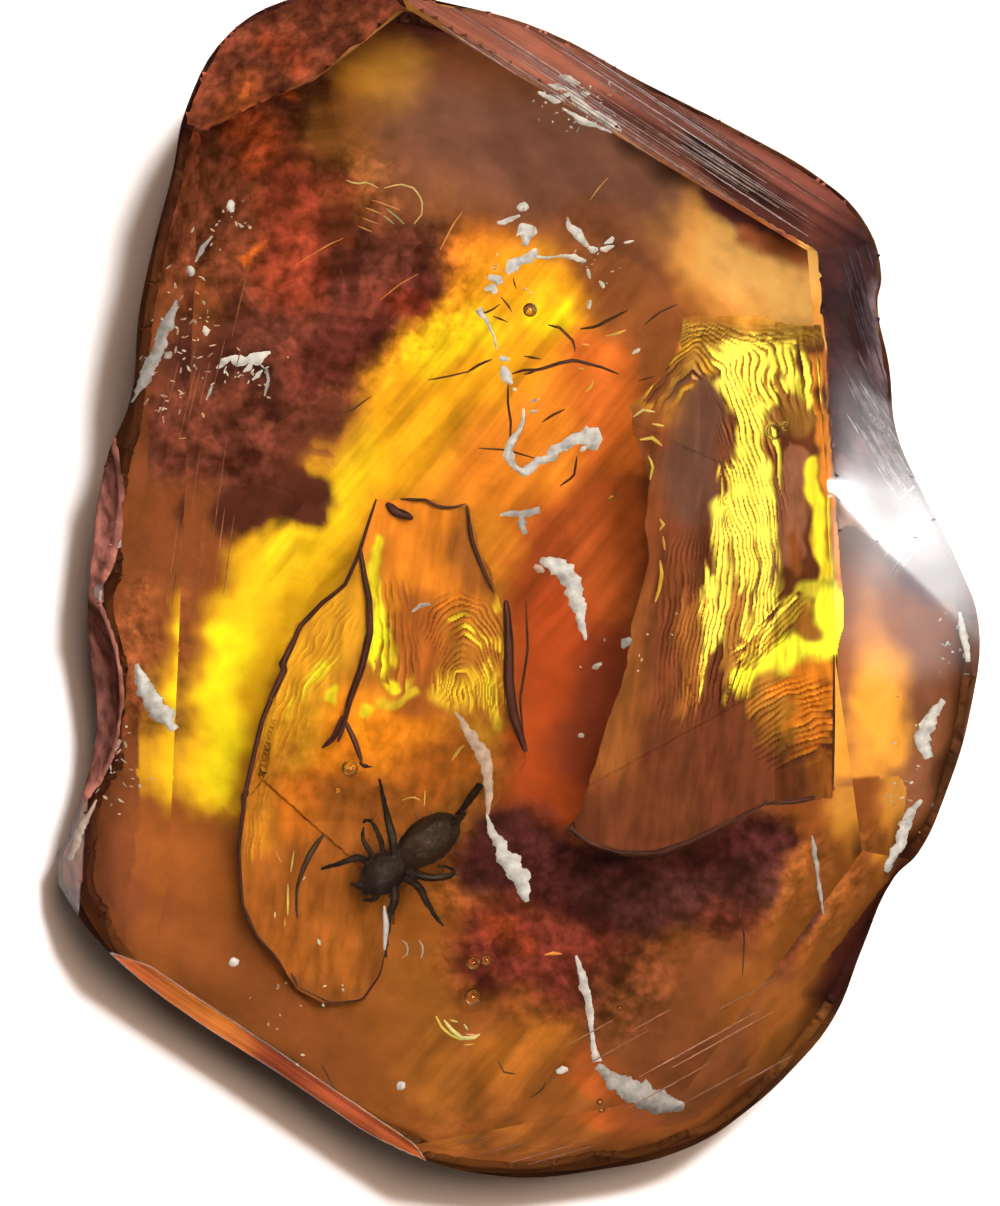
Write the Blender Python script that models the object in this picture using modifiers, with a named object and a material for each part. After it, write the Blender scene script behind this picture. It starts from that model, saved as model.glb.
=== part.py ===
# A ground and polished piece of amber with a spider sealed in it.
#
# The stone lies on its flat back, and its polished face looks up. +X is to the right and +Y up the face.
# It is one stone, parted level with the spider, so that the pockets round what it holds can be modelled.
# The spider, its lost leg and a forked scrap of plant lie in those pockets, cut half from each part.
# Everything is shaped in millimetres and brought to metres when its node is made.

import math

import bmesh
import bpy
from mathutils import Matrix, Vector, noise

MM = 0.001

# Driving dimensions, in millimetres
THICKNESS = 9.0
FACE_MIDDLE = 7.2
FACE_WAY = 240
FACE_SLOPE = 10
GIRDLE_HEIGHT = 3.0
GIRDLE_FALL = 1.2
PARTING_HEIGHT = 3.6
PARTING_GAP = 0.1

# The stone's rim seen from above, clockwise from the top left, in millimetres
RIM = [
    (-5.9, 15.2), (-4.2, 15.35), (-1.7, 15.1), (0.9, 14.4), (3.4, 13.1), (6.0, 11.8),
    (8.0, 10.6), (9.0, 9.6), (9.5, 8.1), (9.4, 7.4), (9.7, 5.8), (9.9, 4.1),
    (10.5, 2.7), (11.5, 0.8), (12.1, -0.8), (11.9, -3.1), (11.2, -5.4), (10.5, -6.8),
    (9.9, -7.4), (9.1, -9.3), (8.4, -11.1), (7.4, -12.4), (6.1, -13.6), (4.3, -14.7),
    (2.2, -15.2), (-0.3, -15.35), (-3.0, -14.6), (-5.9, -12.8), (-8.7, -11.0),
    (-10.6, -9.4), (-11.9, -7.8), (-12.1, -7.4), (-11.6, -6.3), (-11.1, -4.8),
    (-10.9, -3.5), (-11.1, -1.2), (-11.0, 0.8), (-10.6, 3.3), (-9.9, 5.0), (-9.7, 7.1),
    (-9.4, 8.5), (-8.8, 10.7), (-8.4, 12.5), (-7.3, 14.4),
]

# The face falls to the lower left and is faintly crowned: a place (x, y) where a crown touches the tilted
# plane through the face's middle, the way it falls, and its slope from level. Millimetres and degrees.
CROWNS = {
    "middle": (0.0, 0.0, FACE_WAY, FACE_SLOPE),
    "upper": (1.5, 5.0, 237, 6.6),
    "lower": (2.0, -5.0, 256, 12.5),
    "lower_left": (-3.5, -7.5, 236, 14.7),
    "left": (-4.9, 3.7, 207, 15.3),
}

# Flats ground round the face: where the flat leaves the face (x, y), the way it faces in plan, and its slope
FACE_FLATS = {
    "upper_right_bevel": (5.6, 9.7, 62, 50),
    "right_bevel": (8.3, 0.9, -2, 36),
    "lower_right_slope": (8.5, -3.2, -10, 33),
    "bottom_right_bevel": (6.0, -10.9, -50, 40),
    "bottom_bevel": (0.2, -13.9, -84, 46),
    "lower_left_rim": (-7.0, -11.4, -124, 66),
    "left_corner_slope": (-8.9, -6.4, 188, 36),
    "left_bevel": (-10.0, -0.8, 181, 58),
    "upper_left_slope": (-6.6, 12.4, 136, 36),
}

# The undercut below the girdle leans in all round. The girdle falls with the face.
UNDERCUT_COUNT = 12
UNDERCUT_SLOPE = 131

# Shell-shaped chips: centre (x, y, z), radius, and how much longer the ball is along Y. Millimetres.
CHIPS = {
    "left_shell_high": (-13.2, 2.2, 5.9, 3.1, 1.5),
    "left_shell_low": (-13.5, -2.8, 4.9, 3.3, 1.3),
    "right_hollow": (14.15, 7.2, 12.27, 7.0, 1.3),
    "right_notch": (11.5, 7.4, 6.4, 2.1, 0.7),
    "right_bite": (14.0, 3.2, 6.8, 3.3, 0.9),
    "top_left_bite": (-12.0, 12.0, 8.9, 3.6, 1.3),
}

# Wear: the grain at which edges are rounded, the rounds of smoothing, and the height and length of the
# slow swells that hand polishing leaves
VOXEL = 0.34
SMOOTHING_ROUNDS = 4
SWELL_HEIGHT = 0.03
SWELL_LENGTH = 2.6
STONE_TRIANGLES = 4200

# The spider, with its head to the lower left. Places are (x, y, height) in millimetres. All that is sealed
# in is given where it is seen through the sloping face, and lies the seen shift further up and right.
SEEN_SHIFT = (0.12, 0.18)
SPIDER_HEIGHT = PARTING_HEIGHT
HEAD_CENTRE = (-3.40, -7.40, SPIDER_HEIGHT + 0.05)
HEAD_SIZE = (1.34, 1.06, 0.72)
ABDOMEN_CENTRE = (-2.24, -6.55, SPIDER_HEIGHT + 0.08)
ABDOMEN_SIZE = (1.92, 1.18, 1.06)
BODY_TURN = 38
WAIST_SIZE = (0.5, 0.34, 0.3)

# Each leg's points run from the body to the tip: x, y, height above SPIDER_HEIGHT, and radius
LEGS = {
    "upper": [
        (-3.12, -7.20, 0.05, 0.13), (-3.16, -6.62, 0.34, 0.13), (-3.28, -6.10, 0.30, 0.105),
        (-3.42, -5.42, 0.02, 0.075), (-3.50, -4.91, -0.18, 0.045),
    ],
    "upper_left_long": [
        (-3.40, -7.10, 0.05, 0.09), (-3.50, -6.55, 0.30, 0.085), (-3.64, -6.22, 0.36, 0.065),
        (-3.82, -6.02, 0.14, 0.05), (-3.95, -6.10, -0.10, 0.035),
    ],
    "upper_left_short": [
        (-3.62, -7.12, 0.0, 0.09), (-3.80, -6.82, 0.20, 0.085), (-3.95, -6.52, 0.18, 0.065),
        (-3.93, -6.20, 0.0, 0.04),
    ],
    "left": [
        (-3.72, -7.20, 0.02, 0.11), (-4.10, -7.02, 0.26, 0.10), (-4.48, -7.12, 0.22, 0.08),
        (-5.00, -7.28, -0.02, 0.045),
    ],
    "right_folded": [
        (-2.85, -7.30, 0.0, 0.12), (-2.34, -7.50, 0.22, 0.11), (-1.98, -7.50, 0.28, 0.10),
        (-1.62, -7.38, 0.16, 0.08), (-1.68, -7.24, 0.0, 0.06), (-2.02, -7.22, -0.12, 0.04),
    ],
    "lower_right": [
        (-2.95, -7.48, 0.0, 0.12), (-2.54, -7.72, 0.24, 0.115), (-2.33, -8.10, 0.22, 0.095),
        (-2.12, -8.46, 0.06, 0.07), (-1.88, -8.76, -0.12, 0.04),
    ],
    "lower": [
        (-3.20, -7.62, 0.0, 0.12), (-3.12, -7.98, 0.20, 0.115), (-3.24, -8.45, 0.24, 0.09),
        (-3.32, -9.05, 0.06, 0.075), (-3.33, -9.60, -0.12, 0.045),
    ],
    "trailing": [
        (-2.90, -7.05, -0.30, 0.11), (-2.30, -6.62, -0.52, 0.11), (-1.62, -6.06, -0.38, 0.075),
        (-1.34, -5.70, -0.16, 0.085), (-1.08, -5.36, 0.0, 0.12), (-0.86, -5.06, 0.10, 0.095),
    ],
}
FEELERS = {
    "lower": [
        (-3.52, -7.78, 0.02, 0.10), (-3.62, -8.06, 0.06, 0.085), (-3.94, -8.08, 0.02, 0.05),
    ],
    "left": [
        (-3.78, -7.62, 0.02, 0.10), (-3.98, -7.72, 0.06, 0.085), (-4.26, -7.66, 0.02, 0.055),
    ],
}
FANGS = {
    "lower": [(-3.62, -7.62, -0.05, 0.16), (-3.88, -7.86, -0.12, 0.13), (-3.94, -7.92, -0.20, 0.06)],
    "upper": [(-3.72, -7.50, -0.05, 0.16), (-4.00, -7.72, -0.12, 0.13), (-4.08, -7.78, -0.20, 0.06)],
}
SPINNERETS = [(-1.55, -6.05, 0.02, 0.16), (-1.36, -5.90, 0.02, 0.09), (-1.24, -5.80, 0.02, 0.05)]

# The leg that the spider shed lies to its left
LOST_LEG = [
    (-4.93, -6.37, 0.30, 0.040), (-5.12, -6.62, 0.26, 0.075), (-5.34, -7.00, 0.20, 0.085),
    (-5.50, -7.36, 0.12, 0.070), (-5.62, -7.74, 0.0, 0.055), (-5.66, -8.20, -0.10, 0.045),
    (-5.64, -8.60, -0.16, 0.030),
]

# The forked scrap of plant hangs down the face from a long thread
PLANT_STEM = [
    (-3.62, 2.10, 0.50, 0.035), (-3.86, 1.25, 0.42, 0.060), (-3.80, 0.50, 0.34, 0.065),
    (-3.67, -0.15, 0.26, 0.075), (-3.70, -0.85, 0.16, 0.075), (-3.92, -1.70, 0.06, 0.090),
    (-4.22, -2.52, 0.0, 0.150), (-4.38, -3.10, 0.0, 0.250), (-4.42, -3.60, 0.0, 0.210),
    (-4.40, -3.96, 0.0, 0.120),
]
PLANT_FORKS = {
    "left_high": [(-4.42, -3.78, 0.0, 0.15), (-4.86, -3.86, 0.06, 0.10), (-5.32, -3.96, 0.02, 0.035)],
    "left_low": [(-4.42, -3.88, -0.05, 0.13), (-4.78, -4.14, -0.10, 0.08), (-5.12, -4.14, -0.12, 0.035)],
    "right": [
        (-4.38, -3.80, 0.0, 0.14), (-4.10, -4.14, 0.0, 0.12), (-3.97, -4.50, -0.04, 0.10),
        (-3.60, -4.62, -0.06, 0.035),
    ],
}

# Pockets: centre x and y, and length along X, Y and Z. Their rounding is a share of their depth.
POCKETS = {
    "spider": (-3.35, -7.35, 5.6, 5.9, 1.9),
    "plant": (-4.30, -1.15, 2.9, 7.9, 1.7),
}
POCKET_ROUNDING = 0.42

# Distances under which points are one, in millimetres
WELD = 1e-4
FLAT_WELD = 1e-3


def collection(name, shown=True):
    made = bpy.data.collections.new(name)
    made.hide_render = not shown
    bpy.context.scene.collection.children.link(made)
    return made


def material(name, colour, roughness, transmission=0.0, ior=1.54):
    made = bpy.data.materials.new(name)
    made.use_nodes = True
    shader = made.node_tree.nodes["Principled BSDF"]
    shader.inputs["Base Color"].default_value = (*colour, 1.0)
    shader.inputs["Roughness"].default_value = roughness
    shader.inputs["Transmission Weight"].default_value = transmission
    shader.inputs["IOR"].default_value = ior
    return made


def object_from(bm, name, home):
    mesh = bpy.data.meshes.new(name)
    bm.to_mesh(mesh)
    bm.free()
    made = bpy.data.objects.new(name, mesh)
    home.objects.link(made)
    return made


def mesh_of(obj):
    """The object's evaluated mesh, with a curve's loose caps welded to its sides."""
    bpy.context.view_layer.update()
    graph = bpy.context.evaluated_depsgraph_get()
    bm = bmesh.new()
    bm.from_mesh(bpy.data.meshes.new_from_object(obj.evaluated_get(graph)))
    bm.transform(obj.matrix_world)
    bmesh.ops.remove_doubles(bm, verts=bm.verts, dist=WELD)
    return bm


def grind(bm, spot, normal):
    """Takes off all that stands outside the plane, and closes the stone with a flat."""
    everything = bm.verts[:] + bm.edges[:] + bm.faces[:]
    bmesh.ops.bisect_plane(
        bm, geom=everything, plane_co=spot, plane_no=normal, clear_outer=True, dist=WELD / 10
    )
    edges = [edge for edge in bm.edges if edge.is_boundary]
    if edges:
        bmesh.ops.holes_fill(bm, edges=edges, sides=0)
        bmesh.ops.remove_doubles(bm, verts=bm.verts, dist=FLAT_WELD)
        bmesh.ops.recalc_face_normals(bm, faces=bm.faces)


def facing(way, slope):
    """The outward normal of a flat that faces that way and slopes that much from level, in degrees."""
    turn, lean = math.radians(way), math.radians(slope)
    return Vector((math.cos(turn) * math.sin(lean), math.sin(turn) * math.sin(lean), math.cos(lean)))


def rim_prism(home):
    """The rim as an upright block of the stone's full thickness."""
    curve = bpy.data.curves.new("rim", "CURVE")
    curve.dimensions = "2D"
    curve.fill_mode = "BOTH"
    curve.resolution_u = 3
    curve.extrude = THICKNESS / 2
    spline = curve.splines.new("BEZIER")
    spline.bezier_points.add(len(RIM) - 1)
    for point, (x, y) in zip(spline.bezier_points, RIM):
        point.co = (x, y, 0)
        point.handle_left_type = point.handle_right_type = "AUTO"
    spline.use_cyclic_u = True
    block = bpy.data.objects.new("rim", curve)
    block.location.z = THICKNESS / 2
    home.objects.link(block)
    bm = mesh_of(block)
    bpy.data.objects.remove(block)
    bmesh.ops.recalc_face_normals(bm, faces=bm.faces)
    return bm


def fall(x, y, way, slope):
    """How far a plane through the origin, falling that way with that slope, is below it at that place."""
    turn = math.radians(way)
    return (x * math.cos(turn) + y * math.sin(turn)) * math.tan(math.radians(slope))


def tilted(x, y):
    """The height of the tilted plane through the face's middle."""
    return FACE_MIDDLE - fall(x, y, FACE_WAY, FACE_SLOPE)


def face_height(x, y):
    """How high the crowned face stands at that place."""
    heights = []
    for crown_x, crown_y, way, slope in CROWNS.values():
        heights.append(tilted(crown_x, crown_y) - fall(x - crown_x, y - crown_y, way, slope))
    return min(heights)


def grind_face(bm):
    for x, y, way, slope in CROWNS.values():
        grind(bm, Vector((x, y, tilted(x, y))), facing(way, slope))
    for x, y, way, slope in FACE_FLATS.values():
        grind(bm, Vector((x, y, face_height(x, y))), facing(way, slope))


def grind_undercut(bm):
    for number in range(UNDERCUT_COUNT):
        way = 360 * number / UNDERCUT_COUNT
        turn = math.radians(way)
        reach = max(x * math.cos(turn) + y * math.sin(turn) for x, y in RIM)
        height = GIRDLE_HEIGHT - GIRDLE_FALL * math.cos(math.radians(way - FACE_WAY))
        spot = Vector((reach * math.cos(turn), reach * math.sin(turn), height))
        grind(bm, spot, facing(way, UNDERCUT_SLOPE))


def chip_cutter(name, home):
    x, y, z, radius, stretch = CHIPS[name]
    bm = bmesh.new()
    bmesh.ops.create_uvsphere(bm, u_segments=32, v_segments=20, radius=radius)
    bmesh.ops.scale(bm, vec=(1, stretch, 1), verts=bm.verts)
    bmesh.ops.translate(bm, vec=(x, y, z), verts=bm.verts)
    return object_from(bm, "chip_" + name, home)


def cut_by(obj, cutter, operation="DIFFERENCE"):
    modifier = obj.modifiers.new(cutter.name, "BOOLEAN")
    modifier.operation = operation
    modifier.object = cutter
    cutter.hide_render = True
    cutter.display_type = "WIRE"


def swell_surface(bm):
    """The slow swells that hand polishing leaves."""
    bm.normal_update()
    for vertex in bm.verts:
        swell = noise.noise(vertex.co / SWELL_LENGTH)
        vertex.co += vertex.normal * swell * SWELL_HEIGHT


def build_stone(cutters):
    """The whole stone, before it is parted."""
    bm = rim_prism(cutters)
    grind_face(bm)
    grind_undercut(bm)
    rough = object_from(bm, "rough_stone", cutters)
    for name in CHIPS:
        cut_by(rough, chip_cutter(name, cutters))
    remesh = rough.modifiers.new("skin", "REMESH")
    remesh.mode = "VOXEL"
    remesh.voxel_size = VOXEL
    smooth = rough.modifiers.new("polish", "SMOOTH")
    smooth.factor = 0.5
    smooth.iterations = SMOOTHING_ROUNDS
    bm = mesh_of(rough)
    swell_surface(bm)
    swelled = object_from(bm, "swelled_stone", cutters)
    triangles = sum(len(face.vertices) - 2 for face in swelled.data.polygons)
    decimate = swelled.modifiers.new("thin", "DECIMATE")
    decimate.ratio = STONE_TRIANGLES / triangles
    bm = mesh_of(swelled)
    grind(bm, Vector((0, 0, VOXEL / 2)), Vector((0, 0, -1)))
    bmesh.ops.translate(bm, vec=(0, 0, -VOXEL / 2), verts=bm.verts)
    for helper in (rough, swelled):
        bpy.data.objects.remove(helper)
    return object_from(bm, "stone", cutters)


def pocket_cutter(name, home):
    """A pocket with rounded sides, level with the parting."""
    x, y, length, width, depth = POCKETS[name]
    bm = bmesh.new()
    bmesh.ops.create_cube(bm, size=1.0)
    bmesh.ops.scale(bm, vec=(length, width, depth), verts=bm.verts)
    bmesh.ops.translate(bm, vec=(x + SEEN_SHIFT[0], y + SEEN_SHIFT[1], PARTING_HEIGHT), verts=bm.verts)
    box = object_from(bm, "pocket_" + name, home)
    bevel = box.modifiers.new("rounding", "BEVEL")
    bevel.width = POCKET_ROUNDING * depth
    bevel.segments = 4
    return box


def node(shaped, name, home, finish, smooth=False):
    """The shaped body in its real size, as a named node."""
    bm = mesh_of(shaped)
    bmesh.ops.scale(bm, vec=(MM, MM, MM), verts=bm.verts)
    made = object_from(bm, name, home)
    made.data.materials.append(finish)
    if smooth:
        made.data.shade_smooth()
    bpy.data.objects.remove(shaped)
    return made


def part_of_stone(stone, cutters, upper, pockets):
    """One side of the stone, from the parting up or down, with its share of each pocket."""
    bm = bmesh.new()
    bm.from_mesh(stone.data)
    side = 1 if upper else -1
    level = PARTING_HEIGHT + side * PARTING_GAP / 2
    grind(bm, Vector((0, 0, level)), Vector((0, 0, -side)))
    piece = object_from(bm, "stone_side", cutters)
    for pocket in pockets:
        cut_by(piece, pocket)
    return piece


def ball(name, centre, size, turn, home, segments=20, rings=12):
    bm = bmesh.new()
    bmesh.ops.create_uvsphere(bm, u_segments=segments, v_segments=rings, radius=0.5)
    bmesh.ops.scale(bm, vec=size, verts=bm.verts)
    bmesh.ops.rotate(bm, cent=(0, 0, 0), matrix=Matrix.Rotation(math.radians(turn), 3, "Z"), verts=bm.verts)
    bmesh.ops.translate(bm, vec=centre, verts=bm.verts)
    bmesh.ops.translate(bm, vec=(*SEEN_SHIFT, 0), verts=bm.verts)
    return object_from(bm, name, home)


def limb(name, points, home):
    """A tapered limb along the points, as a closed mesh."""
    curve = bpy.data.curves.new(name, "CURVE")
    curve.dimensions = "3D"
    curve.bevel_depth = 1.0
    curve.bevel_resolution = 1
    curve.use_fill_caps = True
    curve.resolution_u = 3
    spline = curve.splines.new("BEZIER")
    spline.bezier_points.add(len(points) - 1)
    for point, (x, y, rise, radius) in zip(spline.bezier_points, points):
        point.co = (x + SEEN_SHIFT[0], y + SEEN_SHIFT[1], SPIDER_HEIGHT + rise)
        point.handle_left_type = point.handle_right_type = "AUTO"
        point.radius = radius
    tube = bpy.data.objects.new(name, curve)
    home.objects.link(tube)
    bm = mesh_of(tube)
    bmesh.ops.recalc_face_normals(bm, faces=bm.faces)
    bpy.data.objects.remove(tube)
    return object_from(bm, name, home)


def fused(base, others, cutters):
    """The base and the others joined in one closed body."""
    for other in others:
        cut_by(base, other, "UNION")
    joined = object_from(mesh_of(base), "joined", cutters)
    for helper in (base, *others):
        bpy.data.objects.remove(helper)
    return joined


def build_spider(cutters):
    head = ball("head", HEAD_CENTRE, HEAD_SIZE, BODY_TURN, cutters)
    abdomen = ball("abdomen", ABDOMEN_CENTRE, ABDOMEN_SIZE, BODY_TURN, cutters, 24, 16)
    waist_centre = (Vector(HEAD_CENTRE) + Vector(ABDOMEN_CENTRE)) / 2
    waist = ball("waist", waist_centre, WAIST_SIZE, BODY_TURN, cutters, 12, 8)
    limbs = [limb("leg_" + name, points, cutters) for name, points in LEGS.items()]
    limbs += [limb("feeler_" + name, points, cutters) for name, points in FEELERS.items()]
    limbs += [limb("fang_" + name, points, cutters) for name, points in FANGS.items()]
    limbs.append(limb("spinnerets", SPINNERETS, cutters))
    return fused(head, [waist, abdomen, *limbs], cutters)


def build_plant(cutters):
    stem = limb("stem", PLANT_STEM, cutters)
    forks = [limb("fork_" + name, points, cutters) for name, points in PLANT_FORKS.items()]
    return fused(stem, forks, cutters)


def main():
    for obj in list(bpy.data.objects):
        bpy.data.objects.remove(obj)
    home = collection("spider_in_amber")
    cutters = collection("cutters", shown=False)
    amber = material("amber", (0.80, 0.34, 0.04), 0.12, transmission=1.0)
    chitin = material("spider_skin", (0.035, 0.030, 0.022), 0.6)
    bark = material("dark_plant", (0.030, 0.018, 0.012), 0.7)

    stone = build_stone(cutters)
    pockets = [pocket_cutter(name, cutters) for name in POCKETS]
    node(part_of_stone(stone, cutters, False, pockets), "amber_lower", home, amber)
    node(part_of_stone(stone, cutters, True, pockets), "amber_upper", home, amber)
    node(build_spider(cutters), "spider", home, chitin, smooth=True)
    node(limb("leg_lost", LOST_LEG, cutters), "lost_leg", home, chitin, smooth=True)
    node(build_plant(cutters), "plant_fragment", home, bark, smooth=True)
    for helper in list(cutters.objects):
        bpy.data.objects.remove(helper)
    bpy.data.collections.remove(cutters)


main()
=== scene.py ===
"""A hand-polished piece of amber with a spider sealed in it, lying on a white sheet and seen from above.

The stone is one clear skin. Inside lie its weathered back, two rippled fractures, bubbles, the spider,
a leg that it shed and a forked scrap of plant. Shapes are modelled in millimetres, with the stone's
middle at the origin and its face up, and each finished piece is brought to metres.
"""

import math
import random

import bpy
import numpy as np
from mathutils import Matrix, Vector, noise
from mathutils.bvhtree import BVHTree
from mathutils.kdtree import KDTree


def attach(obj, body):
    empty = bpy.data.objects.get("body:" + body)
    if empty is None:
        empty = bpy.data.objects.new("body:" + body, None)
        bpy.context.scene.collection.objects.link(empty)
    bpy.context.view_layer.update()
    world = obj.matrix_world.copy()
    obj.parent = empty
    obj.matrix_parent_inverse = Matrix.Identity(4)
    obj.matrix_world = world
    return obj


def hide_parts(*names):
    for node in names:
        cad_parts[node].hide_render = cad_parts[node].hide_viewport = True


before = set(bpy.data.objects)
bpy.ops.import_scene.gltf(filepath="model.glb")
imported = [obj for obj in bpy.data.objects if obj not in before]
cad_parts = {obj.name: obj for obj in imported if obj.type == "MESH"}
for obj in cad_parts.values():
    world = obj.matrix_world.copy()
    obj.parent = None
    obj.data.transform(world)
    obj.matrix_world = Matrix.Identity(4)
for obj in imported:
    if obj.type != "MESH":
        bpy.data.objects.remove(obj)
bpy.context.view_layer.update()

MM = 0.001
BODY = "root"
IOR = 1.54

# The view. Places on the stone are given by column and row of the view, which are PITCH apart.
PITCH = 0.026
ORIGIN_COLUMN = 512.5
ORIGIN_ROW = 591.0
MIDDLE_COLUMN = 500.0
MIDDLE_ROW = 603.0
VIEW_LEVEL = 5.0
LENS = 250
SENSOR_HALF = 18
LENS_HEIGHT = MIDDLE_ROW * PITCH * LENS / SENSOR_HALF

# The stone's driving dimensions, in millimetres, as its solids have them
THICKNESS = 9.0
FACE_MIDDLE = 7.2
FACE_WAY = 240
FACE_SLOPE = 10
GIRDLE_HEIGHT = 3.0
GIRDLE_FALL = 1.2

RIM = [
    (-5.9, 15.2), (-4.2, 15.35), (-1.7, 15.1), (0.9, 14.4), (3.4, 13.1), (6.0, 11.8),
    (8.0, 10.6), (9.0, 9.6), (9.5, 8.1), (9.4, 7.4), (9.7, 5.8), (9.9, 4.1),
    (10.5, 2.7), (11.5, 0.8), (12.1, -0.8), (11.9, -3.1), (11.2, -5.4), (10.5, -6.8),
    (9.9, -7.4), (9.1, -9.3), (8.4, -11.1), (7.4, -12.4), (6.1, -13.6), (4.3, -14.7),
    (2.2, -15.2), (-0.3, -15.35), (-3.0, -14.6), (-5.9, -12.8), (-8.7, -11.0),
    (-10.6, -9.4), (-11.9, -7.8), (-12.1, -7.4), (-11.6, -6.3), (-11.1, -4.8),
    (-10.9, -3.5), (-11.1, -1.2), (-11.0, 0.8), (-10.6, 3.3), (-9.9, 5.0), (-9.7, 7.1),
    (-9.4, 8.5), (-8.8, 10.7), (-8.4, 12.5), (-7.3, 14.4),
]

CROWNS = {
    "middle": (0.0, 0.0, FACE_WAY, FACE_SLOPE),
    "upper": (1.5, 5.0, 237, 6.6),
    "lower": (2.0, -5.0, 256, 12.5),
    "lower_left": (-3.5, -7.5, 236, 14.7),
    "left": (-4.9, 3.7, 207, 15.3),
}
FACE_FLATS = {
    "upper_right_bevel": (5.6, 9.85, 59, 50),
    "right_bevel": (8.3, 0.9, -2, 36),
    "lower_right_slope": (8.5, -3.2, -10, 33),
    "bottom_right_bevel": (6.0, -10.9, -50, 40),
    "bottom_bevel": (0.2, -13.9, -84, 46),
    "lower_left_rim": (-7.0, -11.4, -124, 66),
    "left_corner_slope": (-8.9, -6.4, 188, 36),
    "left_bevel": (-10.0, -0.8, 181, 58),
    "upper_left_slope": (-6.6, 12.4, 136, 36),
}
UNDERCUT_COUNT = 12
UNDERCUT_SLOPE = 131
CHIPS = {
    "left_shell_high": (-13.2, 2.2, 5.9, 3.1, 1.5),
    "left_shell_low": (-13.5, -2.8, 4.9, 3.3, 1.3),
    "right_hollow": (14.15, 7.2, 12.27, 7.0, 1.3),
    "right_notch": (11.5, 7.4, 6.4, 2.1, 0.7),
    "right_bite": (14.0, 3.2, 6.8, 3.3, 0.9),
    "top_left_bite": (-12.0, 12.0, 8.9, 3.6, 1.3),
}
SWELL_HEIGHT = 0.03
SWELL_LENGTH = 2.6
SKIN_DEPTH = 8
SKIN_SHARE = 0.8
CREASE = 14
BACK_VOXEL = 0.2
BACK_DEPTH = 0.25
BACK_WALL = 0.3
BACK_ROUNDS = 110
BACK_RIM = 3.0
BACK_RIM_RISES = [(165, 3.0), (50, 0.9)]
BACK_BELOW_FACE = 1.3
BACK_FLOOR = 0.8
RIM_GAP = 0.2
RIM_FADE = 0.8
RIM_SHADE = 0.4

# A face of a skin belongs to a flat or a chip when it leans and lies as that does
FLAT_LIKENESS = 0.96
FLAT_GAP = 0.2
CHIP_GAP = 0.15

# How much light reaches the inside, and how much of red, green and blue each millimetre of amber takes
LIGHT_INSIDE = (2.25, 1.85, 1.45)
TAKEN_PER_MM = (0.0022, 0.004, 0.08)
PATH_STRETCH = 2.1
PAINT_RANGE = (0.003, 0.95)

# The key light is a soft disc in the sky: its way, its distance from overhead, and its rim, in degrees
KEY_LIGHT = (52.0, 35.0, 26.0)
KEY_WAY = 48
KEY_LEAN = 21
KEY_EDGE = (7, 18)
FILL_LIGHT = (0.10, 0.045, 0.03)
SUN_LIGHT = 13.0
SUN_WAY = 53
SUN_LEAN = 24
SUN_WIDTH = 6
FLOOR_WHITE = 0.22
FLOOR_SIZE = 0.042


# Small tools for working by hand


def deselect():
    if bpy.context.object and bpy.context.object.mode != "OBJECT":
        bpy.ops.object.mode_set(mode="OBJECT")
    bpy.ops.object.select_all(action="DESELECT")


def only(obj):
    deselect()
    obj.select_set(True)
    bpy.context.view_layer.objects.active = obj
    return obj


def apply_modifiers(obj):
    only(obj)
    for modifier in list(obj.modifiers):
        bpy.ops.object.modifier_apply(modifier=modifier.name)
    return obj


def copy_of(obj, name):
    made = obj.copy()
    made.data = obj.data.copy()
    made.name = made.data.name = name
    bpy.context.scene.collection.objects.link(made)
    return made


def remove(*objects):
    for obj in objects:
        bpy.data.objects.remove(obj)


def join(objects, name):
    deselect()
    for obj in objects:
        obj.select_set(True)
    bpy.context.view_layer.objects.active = objects[0]
    if len(objects) > 1:
        bpy.ops.object.join()
    objects[0].name = objects[0].data.name = name
    return objects[0]


def points_of(obj):
    places = np.empty(len(obj.data.vertices) * 3)
    obj.data.vertices.foreach_get("co", places)
    return places.reshape(-1, 3)


def normals_of(obj):
    ways = np.empty(len(obj.data.vertices) * 3)
    obj.data.vertices.foreach_get("normal", ways)
    return ways.reshape(-1, 3)


def move_points(obj, places):
    obj.data.vertices.foreach_set("co", np.asarray(places, dtype=float).ravel())
    obj.data.update()


def face_values(obj, kind):
    """The centre or the normal of each face."""
    values = np.empty(len(obj.data.polygons) * 3)
    obj.data.polygons.foreach_get(kind, values)
    return values.reshape(-1, 3)


def pick_faces(obj, chosen):
    """Goes into edit mode with those faces selected."""
    only(obj)
    bpy.ops.object.mode_set(mode="EDIT")
    bpy.ops.mesh.select_mode(type="FACE")
    bpy.ops.mesh.select_all(action="DESELECT")
    bpy.ops.object.mode_set(mode="OBJECT")
    obj.data.polygons.foreach_set("select", chosen)
    bpy.ops.object.mode_set(mode="EDIT")


def delete_faces(obj, chosen):
    pick_faces(obj, chosen)
    bpy.ops.mesh.delete(type="FACE")
    bpy.ops.object.mode_set(mode="OBJECT")


def smooth_edge(obj, rounds):
    """Evens out the open edge that is left where faces were cut away."""
    only(obj)
    bpy.ops.object.mode_set(mode="EDIT")
    bpy.ops.mesh.select_mode(type="VERT")
    bpy.ops.mesh.select_all(action="DESELECT")
    bpy.ops.mesh.select_non_manifold(
        extend=False, use_wire=False, use_boundary=True,
        use_multi_face=False, use_non_contiguous=False, use_verts=False,
    )
    bpy.ops.mesh.vertices_smooth(factor=0.5, repeat=rounds)
    bpy.ops.object.mode_set(mode="OBJECT")


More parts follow.
